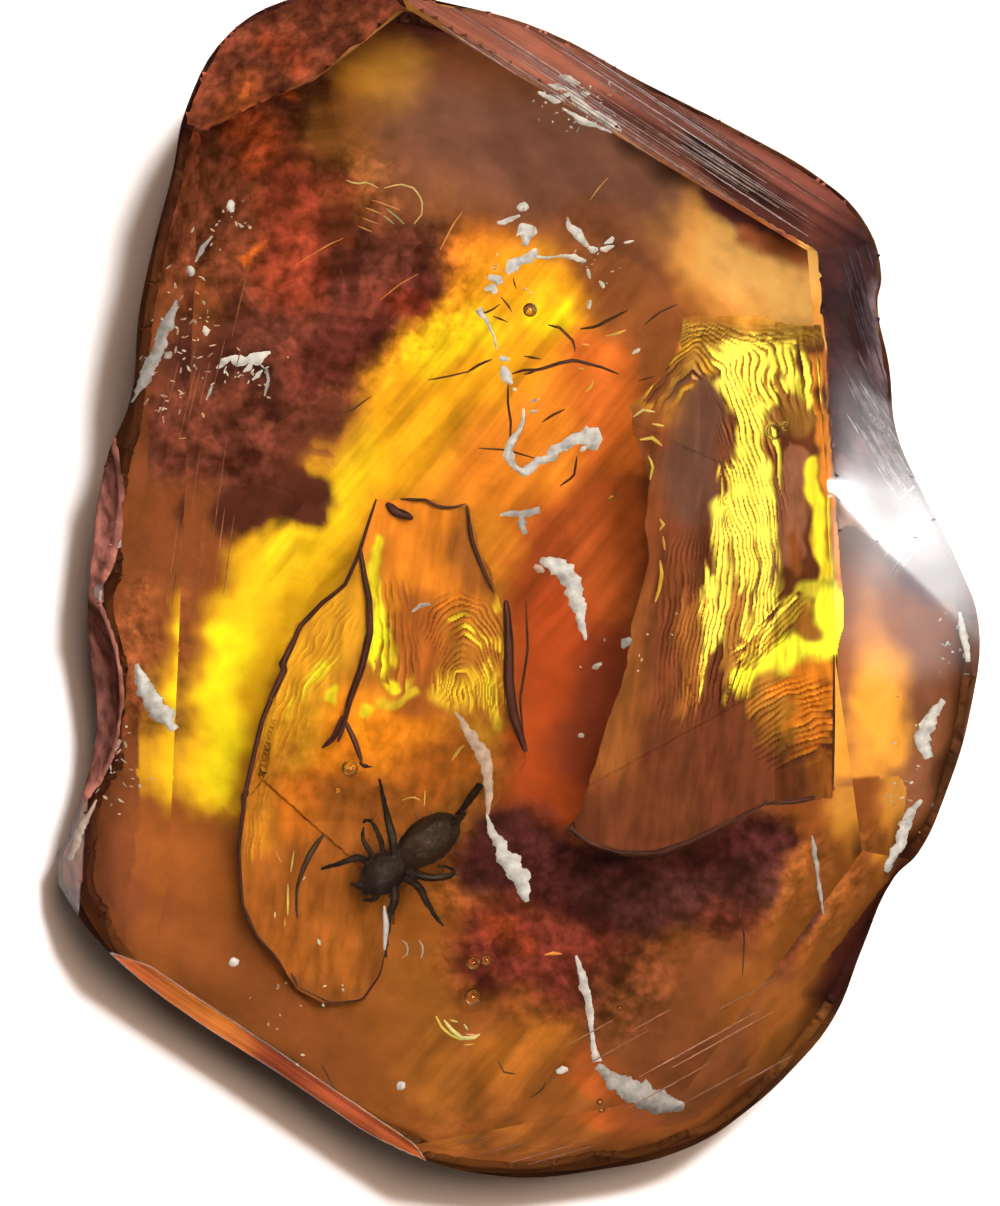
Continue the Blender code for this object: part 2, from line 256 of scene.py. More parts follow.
def grid_sheet(name, across, along, places):
    """A grid of points whose rows are `across` long, each point moved to its place."""
    bpy.ops.mesh.primitive_grid_add(x_subdivisions=across - 1, y_subdivisions=along - 1, size=1)
    sheet = bpy.context.object
    sheet.name = sheet.data.name = name
    move_points(sheet, places)
    return sheet


def set_tone(obj, paint, mask=1.0):
    """Stores one colour and one mask value at each point, for the material to read."""
    tone = obj.data.color_attributes.new("tone", "FLOAT_COLOR", "POINT")
    masks = np.broadcast_to(mask, len(paint))
    tone.data.foreach_set("color", np.column_stack([paint, masks]).ravel())


def store(obj, name, values):
    """Stores one value of that name at each point, for the material to read."""
    stored = obj.data.attributes.new(name, "FLOAT", "POINT")
    stored.data.foreach_set("value", values)


def linked(name, data):
    """A new object with that data, in the scene and picked."""
    made = bpy.data.objects.new(name, data)
    bpy.context.scene.collection.objects.link(made)
    return only(made)


def merge_points(obj, threshold):
    """Joins the points that lie closer than the threshold and turns the normals out."""
    only(obj)
    bpy.ops.object.mode_set(mode="EDIT")
    bpy.ops.mesh.select_all(action="SELECT")
    bpy.ops.mesh.remove_doubles(threshold=threshold)
    bpy.ops.mesh.normals_make_consistent(inside=False)
    bpy.ops.object.mode_set(mode="OBJECT")


def finish_piece(obj, material, slot, *replaced, crease=180):
    """Gives the piece its material, its smooth shading and its true size, and lets it ride."""
    obj.data.materials.clear()
    obj.data.materials.append(material)
    only(obj)
    bpy.ops.object.shade_smooth_by_angle(angle=math.radians(crease))
    obj.scale = (MM, MM, MM)
    bpy.ops.object.transform_apply(location=False, rotation=False, scale=True)
    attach(obj, BODY)
    if replaced:
        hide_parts(*replaced)


# Where things are in the view


def facing(way, slope):
    turn, lean = math.radians(way), math.radians(slope)
    return Vector((math.cos(turn) * math.sin(lean), math.sin(turn) * math.sin(lean), math.cos(lean)))


def fall(x, y, way, slope):
    """How far a plane through the origin, falling that way with that slope, is below it at that place."""
    turn = math.radians(way)
    return (x * math.cos(turn) + y * math.sin(turn)) * math.tan(math.radians(slope))


def tilted(x, y):
    """The height of the tilted plane through the face's middle."""
    return FACE_MIDDLE - fall(x, y, FACE_WAY, FACE_SLOPE)


def face_height(x, y):
    """How high the crowned face stands at those places."""
    heights = []
    for crown_x, crown_y, way, slope in CROWNS.values():
        heights.append(tilted(crown_x, crown_y) - fall(x - crown_x, y - crown_y, way, slope))
    return np.min(heights, axis=0)


MIDDLE_X = (MIDDLE_COLUMN - ORIGIN_COLUMN) * PITCH
MIDDLE_Y = (ORIGIN_ROW - MIDDLE_ROW) * PITCH
LENS_PLACE = Vector((MIDDLE_X, MIDDLE_Y, VIEW_LEVEL + LENS_HEIGHT))


def look(column, row):
    """The way the lens looks for that place in the view."""
    aim = Vector((
        MIDDLE_X + (column - MIDDLE_COLUMN) * PITCH,
        MIDDLE_Y + (MIDDLE_ROW - row) * PITCH,
        VIEW_LEVEL,
    ))
    return (aim - LENS_PLACE).normalized()


def bent(way, normal):
    """The way that light takes on below the skin, by Snell's law."""
    cosine = -way.dot(normal)
    across = 1 - (1 - cosine ** 2) / IOR ** 2
    return way / IOR + normal * (cosine / IOR - math.sqrt(across))


def below_face(columns, rows, depth):
    """The places that deep below the polished face that the lens sees there, through the bent rays."""
    columns, rows = np.atleast_1d(columns).astype(float), np.atleast_1d(rows).astype(float)
    aims = np.column_stack([
        MIDDLE_X + (columns - MIDDLE_COLUMN) * PITCH,
        MIDDLE_Y + (MIDDLE_ROW - rows) * PITCH,
        np.full(len(columns), VIEW_LEVEL),
    ])
    ways = aims - np.array(LENS_PLACE)
    ways /= np.linalg.norm(ways, axis=1)[:, None]
    far = np.full(len(columns), -1.0)
    normals = np.zeros((len(columns), 3))
    for x, y, way, slope in CROWNS.values():
        normal = np.array(facing(way, slope))
        reach = (np.array((x, y, tilted(x, y))) - np.array(LENS_PLACE)) @ normal / (ways @ normal)
        normals[reach > far] = normal
        far = np.maximum(far, reach)
    cosine = -(ways * normals).sum(axis=1)
    across = 1 - (1 - cosine ** 2) / IOR ** 2
    inside = ways / IOR + normals * (cosine / IOR - np.sqrt(across))[:, None]
    return np.array(LENS_PLACE) + ways * far[:, None] + inside * (depth / -inside[:, 2])[:, None]


def tree_of(obj):
    polygons = [tuple(polygon.vertices) for polygon in obj.data.polygons]
    return BVHTree.FromPolygons([vertex.co.copy() for vertex in obj.data.vertices], polygons)


def seen_on(skin, column, row):
    """The place and normal of the skin that the lens sees there."""
    place, normal, _, _ = skin.ray_cast(LENS_PLACE, look(column, row))
    return place, normal


# Paint: soft strokes along points of the view


def noise_at(columns, rows, size, seed):
    pairs = zip((columns / size).tolist(), (rows / size).tolist())
    return np.array([noise.noise((column, row, seed)) for column, row in pairs])


def frayed(columns, rows, reach, seed):
    """The same places, shifted to and fro by two sizes of noise, so that strokes get ragged edges."""
    wide, fine = 55.0, 16.0
    shift_x = noise_at(columns, rows, wide, seed) + 0.45 * noise_at(columns, rows, fine, seed + 9)
    shift_y = noise_at(columns, rows, wide, seed + 3) + 0.45 * noise_at(columns, rows, fine, seed + 5)
    return columns + reach * shift_x, rows + reach * shift_y


def distance_to(columns, rows, points, endless=False):
    """Distance to the line through the points, and the side of it: negative on its left."""
    points = list(points)
    if len(points) == 1:
        return np.hypot(columns - points[0][0], rows - points[0][1]), None
    best = np.full(columns.shape, 1e9)
    side = np.zeros(columns.shape)
    for number, ((x0, y0), (x1, y1)) in enumerate(zip(points, points[1:])):
        run_x, run_y = x1 - x0, y1 - y0
        share = ((columns - x0) * run_x + (rows - y0) * run_y) / (run_x ** 2 + run_y ** 2)
        first = -9 if endless and number == 0 else 0
        last = 9 if endless and number == len(points) - 2 else 1
        share = np.clip(share, first, last)
        gap_x, gap_y = columns - x0 - share * run_x, rows - y0 - share * run_y
        gap = np.hypot(gap_x, gap_y)
        closer = gap < best
        best = np.where(closer, gap, best)
        side = np.where(closer, np.sign(run_x * gap_y - run_y * gap_x), side)
    return best, side


def inside_stroke(columns, rows, half_width, softness, points):
    """1 in the stroke, 0 outside it, and between over its soft edge."""
    distance, _ = distance_to(columns, rows, points)
    share = np.clip((half_width + softness - distance) / (2 * softness), 0, 1)
    return share * share * (3 - 2 * share)


def painted(columns, rows, base, strokes):
    """The colours as seen in the view, with each stroke laid over those before it."""
    colours = np.tile(np.array(base, dtype=float), (len(columns), 1))
    for half_width, softness, colour, points in strokes:
        share = inside_stroke(columns, rows, half_width, softness, points)[:, None]
        colours = colours * (1 - share) + np.array(colour) * share
    return colours


def mask_of(columns, rows, strokes):
    """1 inside any of the strokes, 0 outside them all."""
    mask = np.zeros(len(columns))
    for half_width, softness, points in strokes:
        mask = np.maximum(mask, inside_stroke(columns, rows, half_width, softness, points))
    return mask


def before_amber(colours, depth):
    """The paint that looks like these colours once the amber above it has tinted the light."""
    path = PATH_STRETCH * np.maximum(np.asarray(depth, dtype=float), 0.0)
    left = np.exp(-np.multiply.outer(path, TAKEN_PER_MM)) * np.array(LIGHT_INSIDE)
    return np.clip(colours / left, *PAINT_RANGE)


# The stone's skin


def rim_block():
    """A slab with the stone's outline, standing on the sheet."""
    curve = bpy.data.curves.new("rim", "CURVE")
    curve.dimensions = "2D"
    curve.fill_mode = "BOTH"
    curve.resolution_u = 5
    curve.extrude = THICKNESS / 2
    spline = curve.splines.new("BEZIER")
    spline.bezier_points.add(len(RIM) - 1)
    for point, (x, y) in zip(spline.bezier_points, RIM):
        point.co = (x, y, 0)
        point.handle_left_type = point.handle_right_type = "AUTO"
    spline.use_cyclic_u = True
    block = linked("rim_block", curve)
    block.location.z = THICKNESS / 2
    bpy.ops.object.convert(target="MESH")
    bpy.ops.object.transform_apply(location=True, rotation=False, scale=False)
    merge_points(block, 1e-4)
    return block


def grind(obj, spot, normal):
    """Cuts off all that stands outside the plane and closes the cut with a flat."""
    only(obj)
    bpy.ops.object.mode_set(mode="EDIT")
    bpy.ops.mesh.select_all(action="SELECT")
    bpy.ops.mesh.bisect(plane_co=spot, plane_no=normal, use_fill=True, clear_outer=True, threshold=1e-5)
    merge_points(obj, 1e-3)


def chip_off(stone, name):
    """Takes a shell-shaped chip out of the stone's edge."""
    x, y, z, radius, stretch = CHIPS[name]
    bpy.ops.mesh.primitive_uv_sphere_add(segments=64, ring_count=40, radius=radius, location=(x, y, z))
    ball = bpy.context.object
    ball.scale = (1, stretch, 1)
    cut = stone.modifiers.new(name, "BOOLEAN")
    cut.object = ball
    apply_modifiers(stone)
    remove(ball)


def ground_block():
    """The whole stone with sharp edges: rim, flats, undercut and chips."""
    stone = rim_block()
    for x, y, way, slope in CROWNS.values():
        grind(stone, (x, y, tilted(x, y)), facing(way, slope))
    for x, y, way, slope in FACE_FLATS.values():
        grind(stone, (x, y, float(face_height(x, y))), facing(way, slope))
    for number in range(UNDERCUT_COUNT):
        way = 360 * number / UNDERCUT_COUNT
        turn = math.radians(way)
        reach = max(x * math.cos(turn) + y * math.sin(turn) for x, y in RIM)
        height = GIRDLE_HEIGHT - GIRDLE_FALL * math.cos(math.radians(way - FACE_WAY))
        grind(stone, (reach * math.cos(turn), reach * math.sin(turn), height), facing(way, UNDERCUT_SLOPE))
    for name in CHIPS:
        chip_off(stone, name)
    return stone


def swelled(stone):
    """The slow swells that hand polishing leaves."""
    places = points_of(stone)
    rise = np.array([noise.noise(Vector(place) / SWELL_LENGTH) for place in places])
    places += normals_of(stone) * rise[:, None] * SWELL_HEIGHT
    places[:, 2] = np.maximum(places[:, 2], 0.0)
    move_points(stone, places)
    return stone


def polished(block, name):
    """A copy of the block in even faces, with its creases kept crisp."""
    stone = copy_of(block, name)
    skin = stone.modifiers.new("skin", "REMESH")
    skin.mode = "SHARP"
    skin.octree_depth = SKIN_DEPTH
    skin.scale = SKIN_SHARE
    skin.use_remove_disconnected = False
    return swelled(apply_modifiers(stone))


def worn(block, name, voxel, rounds):
    """A copy of the block with its edges worn round."""
    stone = copy_of(block, name)
    skin = stone.modifiers.new("skin", "REMESH")
    skin.mode = "VOXEL"
    skin.voxel_size = voxel
    polish = stone.modifiers.new("polish", "SMOOTH")
    polish.factor = 0.5
    polish.iterations = rounds
    return swelled(apply_modifiers(stone))


# Materials


def blank_material(name):
    made = bpy.data.materials.new(name)
    made.use_nodes = True
    return made, made.node_tree.nodes, made.node_tree.links


def clear_amber_finish():
    made, nodes, links = blank_material("clear_amber")
    shader = nodes["Principled BSDF"]
    shader.inputs["Base Color"].default_value = (1.0, 0.97, 0.90, 1)
    ground = nodes.new("ShaderNodeAttribute")
    ground.attribute_name = "ground"
    links.new(ground.outputs["Fac"], shader.inputs["Roughness"])
    shader.inputs["Transmission Weight"].default_value = 1.0
    shader.inputs["IOR"].default_value = IOR
    absorb = nodes.new("ShaderNodeVolumeAbsorption")
    absorb.inputs["Color"].default_value = (0.98, 0.88, 0.05, 1)
    absorb.inputs["Density"].default_value = 110.0
    links.new(absorb.outputs["Volume"], nodes["Material Output"].inputs["Volume"])
    return made


class Recipe:
    """Builds up a colour from the painted tone, step by step, in a new material."""

    def __init__(self, name):
        self.material, self.nodes, self.links = blank_material(name)
        self.shader = self.nodes["Principled BSDF"]
        paint = self.nodes.new("ShaderNodeAttribute")
        paint.attribute_name = "tone"
        self.colour = paint.outputs["Color"]
        self.mask = paint.outputs["Alpha"]
        self.place = self.nodes.new("ShaderNodeTexCoord").outputs["Object"]

    def share(self, name):
        """The stored value of that name."""
        stored = self.nodes.new("ShaderNodeAttribute")
        stored.attribute_name = name
        return stored.outputs["Fac"]

    def add_painted_glow(self):
        """Painted light: the paint also shines with a faint light of its own, to make up for the light that
        the crust's shadow keeps off the back and to brighten the gold of the fractures.

        It is faint and wide, so that no rays need to be aimed at it.
        """
        self.links.new(self.colour, self.shader.inputs["Emission Color"])
        self.links.new(self.share("glow"), self.shader.inputs["Emission Strength"])
        self.material.cycles.emission_sampling = "NONE"

    def noise(self, scale, detail=4.0, stretch=None):
        texture = self.nodes.new("ShaderNodeTexNoise")
        texture.inputs["Scale"].default_value = scale
        texture.inputs["Detail"].default_value = detail
        self.links.new(self.stretched(stretch), texture.inputs["Vector"])
        return texture.outputs["Fac"]

    def stretched(self, stretch):
        if stretch is None:
            return self.place
        turn, lengths = stretch
        mapping = self.nodes.new("ShaderNodeMapping")
        mapping.vector_type = "TEXTURE"
        mapping.inputs["Rotation"].default_value = (0, 0, math.radians(turn))
        mapping.inputs["Scale"].default_value = lengths
        self.links.new(self.place, mapping.inputs["Vector"])
        return mapping.outputs["Vector"]

    def cells(self, scale, feature, output):
        texture = self.nodes.new("ShaderNodeTexVoronoi")
        texture.feature = feature
        texture.inputs["Randomness"].default_value = 0.75
        texture.inputs["Scale"].default_value = scale
        warp = self.nodes.new("ShaderNodeVectorMath")
        warp.operation = "MULTIPLY_ADD"
        cloud = self.nodes.new("ShaderNodeTexNoise")
        cloud.inputs["Scale"].default_value = scale * 0.8
        self.links.new(self.place, cloud.inputs["Vector"])
        self.links.new(cloud.outputs["Color"], warp.inputs[0])
        warp.inputs[1].default_value = (1.1 / scale,) * 3
        self.links.new(self.place, warp.inputs[2])
        self.links.new(warp.outputs["Vector"], texture.inputs["Vector"])
        return texture.outputs[output]

    def ramp(self, value, low, high, to_low, to_high):
        made = self.nodes.new("ShaderNodeMapRange")
        made.inputs["From Min"].default_value = low
        made.inputs["From Max"].default_value = high
        made.inputs["To Min"].default_value = to_low
        made.inputs["To Max"].default_value = to_high
        self.links.new(value, made.inputs["Value"])
        return made.outputs["Result"]

    def masked(self, value, mask):
        """The factor where the mask is 1, and 1 where it is 0."""
        mixed = self.nodes.new("ShaderNodeMix")
        mixed.inputs[2].default_value = 1.0
        self.links.new(mask, mixed.inputs[0])
        self.links.new(value, mixed.inputs[3])
        return mixed.outputs[0]

    def times(self, value):
        scaled = self.nodes.new("ShaderNodeVectorMath")
        scaled.operation = "SCALE"
        self.links.new(self.colour, scaled.inputs[0])
        self.links.new(value, scaled.inputs["Scale"])
        self.colour = scaled.outputs["Vector"]

    def bump(self, value, height, strength):
        made = self.nodes.new("ShaderNodeBump")
        made.inputs["Strength"].default_value = strength
        made.inputs["Distance"].default_value = height
        self.links.new(value, made.inputs["Height"])
        self.links.new(made.outputs["Normal"], self.shader.inputs["Normal"])

    def done(self, roughness, specular=0.5, tint=(1, 1, 1)):
        self.links.new(self.colour, self.shader.inputs["Base Color"])
        self.shader.inputs["Roughness"].default_value = roughness
        self.shader.inputs["Specular IOR Level"].default_value = specular
        self.shader.inputs["Specular Tint"].default_value = (*tint, 1)
        return self.material


def weathered_finish():
    """Stained, crackled amber: blocks of different depth with dark cracks where the mask says so, and a
    painted glow.
    """
    recipe = Recipe("weathered_back")
    blocks = recipe.cells(1500, "F1", "Color")
    recipe.times(recipe.masked(recipe.ramp(blocks, 0.2, 0.8, 0.82, 1.2), recipe.mask))
    cracks = recipe.cells(1500, "DISTANCE_TO_EDGE", "Distance")
    recipe.times(recipe.masked(recipe.ramp(cracks, 0.0, 0.05, 0.8, 1.0), recipe.mask))
    recipe.times(recipe.masked(recipe.ramp(recipe.noise(1100, 4.0), 0.36, 0.66, 0.45, 1.6), recipe.mask))
    recipe.times(recipe.masked(recipe.ramp(recipe.noise(3400, 7.0), 0.34, 0.68, 0.6, 1.5), recipe.mask))
    streaks = recipe.noise(1900, 6.0, (50, (11, 1, 1)))
    recipe.times(recipe.masked(recipe.ramp(streaks, 0.34, 0.66, 0.62, 1.4), recipe.share("streaks")))
    recipe.times(recipe.ramp(recipe.noise(900, 7.0), 0.3, 0.7, 0.78, 1.24))
    recipe.bump(cracks, 0.0001, 0.3)
    recipe.add_painted_glow()
    return recipe.done(0.55, 0.0)


def crust_finish(name):
    recipe = Recipe(name)
    recipe.times(recipe.ramp(recipe.noise(500, 6.0), 0.3, 0.7, 0.7, 1.35))
    recipe.times(recipe.ramp(recipe.noise(2600, 3.0, (-33, (22, 1, 1))), 0.35, 0.65, 0.55, 1.6))
    return recipe.done(0.5, 0.0)


def fracture_finish():
    recipe = Recipe("fracture")
    recipe.times(recipe.ramp(recipe.noise(1500, 5.0), 0.3, 0.7, 0.85, 1.15))
    recipe.times(recipe.ramp(recipe.noise(3000, 5.0, (82, (9, 1, 1))), 0.34, 0.66, 0.72, 1.3))
    recipe.add_painted_glow()
    return recipe.done(0.2, 0.35, (1.0, 0.70, 0.12))


def chalk_finish():
    recipe = Recipe("chalk")
    recipe.times(recipe.ramp(recipe.noise(4000, 5.0), 0.3, 0.7, 0.6, 1.25))
    return recipe.done(0.9, 0.0)


def glint_flake_finish():
    recipe = Recipe("bright_flake")
    recipe.times(recipe.ramp(recipe.noise(3000, 4.0), 0.3, 0.7, 0.75, 1.2))
    return recipe.done(0.25, 1.0, (1.0, 0.85, 0.4))


def thread_finish():
    recipe = Recipe("dark_edge")
    recipe.times(recipe.ramp(recipe.noise(2500, 4.0), 0.3, 0.7, 0.6, 1.5))
    return recipe.done(0.45, 0.1)


# The weathered back, painted zone by zone: half width, softness, colour as seen, points of the view. The
# colours as seen hold light and shade, and the strokes marked below are painted light.

BACK_BASE = (0.33, 0.095, 0.018)
BACK_STROKES = [
    (120, 40, (0.17, 0.045, 0.018), [(270, 70), (230, 230), (240, 400)]),
    (26, 16, (0.15, 0.035, 0.016), [(190, 60), (260, 10), (500, 16)]),
    (60, 25, (0.23, 0.066, 0.018), [(150, 300), (170, 480), (140, 620), (110, 760)]),
    (30, 22, (0.75, 0.32, 0.03), [(360, 85), (395, 72), (385, 115)]),
    (30, 20, (0.40, 0.15, 0.03), [(330, 130), (400, 150)]),
    # painted light: this patch is painted brighter to make up for the crust's shadow on it
    (60, 35, (1.6, 0.66, 0.07), [(650, 170), (700, 200), (760, 270)]),
    (40, 22, (1.1, 0.55, 0.08), [(730, 250), (800, 290)]),
    (20, 10, (0.14, 0.03, 0.018), [(716, 190), (760, 222), (800, 244)]),
    (10, 8, (0.62, 0.16, 0.03), [(742, 232), (775, 252), (800, 262)]),
    (28, 12, (0.40, 0.075, 0.02), [(235, 110), (255, 145)]),
    (14, 8, (0.36, 0.04, 0.016), [(380, 300), (420, 310)]),
    # painted glints: small bright spots in the crackled rind
    (7, 4, (0.95, 0.28, 0.02), [(310, 178)]),
    (7, 4, (0.98, 0.36, 0.02), [(316, 231)]),
    (5, 3, (0.85, 0.20, 0.02), [(250, 258), (262, 250)]),
    (6, 4, (0.90, 0.25, 0.02), [(338, 275), (345, 262)]),
    (5, 3, (0.80, 0.12, 0.02), [(190, 188)]),
    (5, 3, (0.85, 0.15, 0.02), [(290, 102)]),
    (5, 4, (0.85, 0.22, 0.02), [(168, 285), (163, 310)]),
    # painted light: the bright glow where the stone gathers light onto its back, brightest in its hot spots
    (60, 28, (1.1, 0.36, 0.03), [(500, 290), (530, 400), (520, 500), (440, 520)]),
    (54, 28, (1.3, 0.62, 0.018), [(540, 300), (480, 345), (430, 385), (370, 470), (310, 540)]),
    (46, 22, (1.25, 0.70, 0.016), [(320, 550), (270, 590), (240, 680), (222, 765)]),
    (24, 18, (1.4, 0.90, 0.02), [(360, 460), (330, 510), (280, 560), (245, 610)]),
    (20, 14, (1.5, 1.05, 0.02), [(480, 325), (430, 355)]),
    (14, 8, (1.5, 1.2, 0.02), [(545, 318), (560, 322)]),
    (20, 14, (1.6, 1.3, 0.02), [(235, 640), (218, 710), (220, 775)]),
    (42, 22, (0.12, 0.032, 0.018), [(240, 360), (330, 300), (410, 245)]),
    (50, 26, (0.13, 0.034, 0.018), [(200, 430), (260, 440), (300, 420)]),
    (34, 9, (0.085, 0.022, 0.012), [(250, 505), (300, 495)]),
    (26, 14, (0.12, 0.026, 0.016), [(310, 370), (370, 325), (420, 285)]),
    (16, 8, (0.20, 0.03, 0.014), [(400, 300), (420, 312)]),
    (40, 20, (0.22, 0.038, 0.016), [(300, 200), (300, 270)]),
    (70, 35, (0.26, 0.10, 0.034), [(440, 150), (560, 165), (630, 175)]),
    (44, 24, (0.30, 0.10, 0.025), [(600, 240), (640, 320), (640, 420)]),
    (60, 30, (0.36, 0.07, 0.016), [(560, 560), (560, 640)]),
    (44, 26, (0.50, 0.08, 0.016), [(570, 620), (560, 720), (540, 800)]),
    (70, 30, (0.62, 0.24, 0.02), [(430, 560), (420, 700)]),
    (80, 35, (0.44, 0.14, 0.02), [(420, 760), (360, 900)]),
    (45, 25, (0.52, 0.19, 0.02), [(290, 760), (280, 900)]),
    (85, 30, (0.17, 0.05, 0.018), [(690, 500), (690, 780)]),
    # painted light: lifted to make up for the right fracture's shadow on the back
    (34, 20, (0.85, 0.21, 0.03), [(590, 370), (620, 440)]),
    (32, 20, (0.58, 0.125, 0.025), [(606, 500), (612, 600)]),
    (26, 16, (0.30, 0.052, 0.018), [(604, 650), (580, 760)]),
    (50, 16, (0.075, 0.018, 0.014), [(500, 850), (580, 885), (680, 890), (760, 860)]),
    (30, 16, (0.07, 0.021, 0.015), [(620, 895), (690, 900), (750, 890)]),
    (45, 20, (0.16, 0.028, 0.015), [(500, 950), (600, 970), (640, 1010)]),
    (30, 16, (0.16, 0.034, 0.016), [(730, 930), (740, 975)]),
    (10, 6, (0.30, 0.05, 0.016), [(495, 930), (520, 940)]),
    (60, 35, (0.30, 0.095, 0.018), [(370, 1030), (450, 1080), (560, 1090)]),
    (30, 22, (0.35, 0.12, 0.018), [(420, 980), (440, 1090)]),
    (26, 18, (0.48, 0.16, 0.02), [(500, 1060), (540, 1040)]),
    (24, 14, (0.55, 0.12, 0.02), [(590, 1070), (630, 1080)]),
    (75, 35, (0.19, 0.058, 0.017), [(660, 1030), (720, 1010)]),
    (60, 35, (0.55, 0.18, 0.03), [(790, 1010), (840, 950)]),
    (60, 30, (0.20, 0.055, 0.018), [(140, 890), (90, 860)]),
    (45, 30, (0.33, 0.095, 0.018), [(210, 860), (240, 940)]),
    (45, 25, (0.27, 0.078, 0.018), [(200, 950), (240, 1000), (330, 1070)]),
    (60, 20, (0.34, 0.115, 0.03), [(885, 610), (905, 760)]),
    # painted light: lifted to make up for the right fracture's shadow, where the back is seen through the
    # right bevel
    (14, 10, (0.60, 0.22, 0.035), [(866, 600), (872, 660)]),
    (26, 14, (1.05, 0.42, 0.035), [(888, 670), (880, 750)]),
    (24, 16, (0.80, 0.32, 0.03), [(866, 790), (850, 840)]),
    (16, 10, (0.13, 0.035, 0.02), [(905, 560), (935, 585)]),
    (26, 14, (0.12, 0.028, 0.016), [(880, 860), (850, 940), (830, 990)]),
    (30, 14, (0.34, 0.11, 0.02), [(820, 870), (800, 960)]),
]
BACK_CRACKLED = [
    (75, 40, [(250, 70), (220, 200), (270, 290)]),
    (60, 30, [(340, 200), (350, 290)]),
    (60, 30, [(230, 430), (340, 330), (420, 280)]),
    (60, 25, [(480, 860), (580, 890), (700, 890), (760, 860)]),
    (55, 25, [(500, 960), (620, 980)]),
    (30, 15, [(150, 600), (150, 720)]),
]
# Where the back's paint also shines as a painted glow, to make up for the shadows that the crust and the
# right fracture cast on it: half width, softness, points of the view
BACK_PAINTED_GLOW = [
    (90, 45, [(640, 150), (700, 200), (770, 260)]),
    (70, 50, [(440, 110), (560, 150)]),
    (60, 25, [(885, 620), (880, 780)]),
]
BACK_STREAKED = [
    (80, 50, [(560, 290), (430, 400), (330, 530)]),
    (80, 40, [(560, 360), (560, 560)]),
    (60, 40, [(460, 1080), (560, 1080)]),
]


# How the view is searched for what shows where. The right fracture hides the back in part of it.
VIEW_COLUMNS = 1000
VIEW_ROWS = 1206
VIEW_STEP = 5
STEEPEST = 0.1
FACE_UPRIGHT = 0.93
HIDDEN_LEFT = 650
HIDDEN_TOP = 330
HIDDEN_BOTTOM = 800
FAR_GAP = 0.35


def columns_and_rows_of(back, skin):
    """For each point of the back, the column and row of the view in which the lens sees it."""
    tree = tree_of(back)
    found = []
    for row in range(0, VIEW_ROWS, VIEW_STEP):
        for column in range(0, VIEW_COLUMNS, VIEW_STEP):
            place, normal = seen_on(skin, column, row)
            if place is None or normal.z < STEEPEST:
                continue
            hit, _, _, _ = tree.ray_cast(place, bent(look(column, row), normal))
            through_face = normal.z > FACE_UPRIGHT
            behind_fracture = through_face and column > HIDDEN_LEFT and HIDDEN_TOP < row < HIDDEN_BOTTOM
            if hit is not None and not behind_fracture:
                found.append((column, row, hit, through_face))
    by_face = near_finder([entry for entry in found if entry[3]])
    anywhere = near_finder(found)
    columns, rows = [], []
    for place in points_of(back):
        column, row, gap = by_face(place)
        if gap > FAR_GAP:
            column, row, gap = anywhere(place)
        columns.append(column)
        rows.append(row)
    return np.array(columns), np.array(rows)


def near_finder(entries):
    """A function that gives the column, row and gap for a place, blended from the nearest entries."""
    tree = KDTree(len(entries))
    for number, entry in enumerate(entries):
        tree.insert(entry[2], number)
    tree.balance()

    def find(place):
        near = tree.find_n(place, 6)
        shares = [1 / (gap + 0.02) ** 2 for _, _, gap in near]
        total = sum(shares)
        column = sum(share * entries[number][0] for share, (_, number, _) in zip(shares, near)) / total
        row = sum(share * entries[number][1] for share, (_, number, _) in zip(shares, near)) / total
        return column, row, near[0][2]
    return find


def rim_height(places):
    """How far up the stone's wall the weathered back reaches at those places."""
    ragged = np.array([noise.noise((x / 1.3, y / 1.3, 4.0)) for x, y, _ in places])
    turn = np.arctan2(places[:, 1], places[:, 0])
    rim = BACK_RIM + 0.8 * ragged
    for way, rise in BACK_RIM_RISES:
        rim += rise * np.clip(2.2 * np.cos(turn - math.radians(way)), 0, 1)
    return np.minimum(rim, face_height(places[:, 0], places[:, 1]) - BACK_BELOW_FACE + 0.4 * ragged)


def build_back(block, skin):
    """The weathered back: a thin shell inside the clear skin, painted on its inner side."""
    back = worn(block, "weathered_back", BACK_VOXEL, BACK_ROUNDS)
    move_points(back, points_of(back) - normals_of(back) * BACK_DEPTH)
    middles = face_values(back, "center")
    delete_faces(back, middles[:, 2] > rim_height(middles))
    smooth_edge(back, 12)
    wall = back.modifiers.new("wall", "SOLIDIFY")
    wall.thickness = BACK_WALL
    wall.offset = -1
    apply_modifiers(back)
    ways = face_values(back, "normal")
    middles = face_values(back, "center")
    inward = (ways[:, :2] * middles[:, :2]).sum(axis=1) < 0
    pick_faces(back, np.where(middles[:, 2] < BACK_FLOOR, ways[:, 2] > 0, inward))
    bpy.ops.mesh.subdivide(number_cuts=1)
    bpy.ops.object.mode_set(mode="OBJECT")
    columns, rows = columns_and_rows_of(back, skin)
    ragged_columns, ragged_rows = frayed(columns, rows, 16, 1.0)
    places = points_of(back)
    below_rim = np.clip((rim_height(places) - RIM_GAP - places[:, 2]) / RIM_FADE, 0, 1)
    colours = painted(ragged_columns, ragged_rows, BACK_BASE, BACK_STROKES)
    colours *= RIM_SHADE + (1 - RIM_SHADE) * below_rim[:, None]
    paint = before_amber(colours, face_height(places[:, 0], places[:, 1]) - places[:, 2])
    set_tone(back, paint, mask_of(ragged_columns, ragged_rows, BACK_CRACKLED))
    store(back, "streaks", mask_of(columns, rows, BACK_STREAKED) * below_rim)
    # painted glow where the crust and the fracture shade the back
    store(back, "glow", mask_of(columns, rows, BACK_PAINTED_GLOW) * below_rim)
    finish_piece(back, weathered_finish(), "amber")
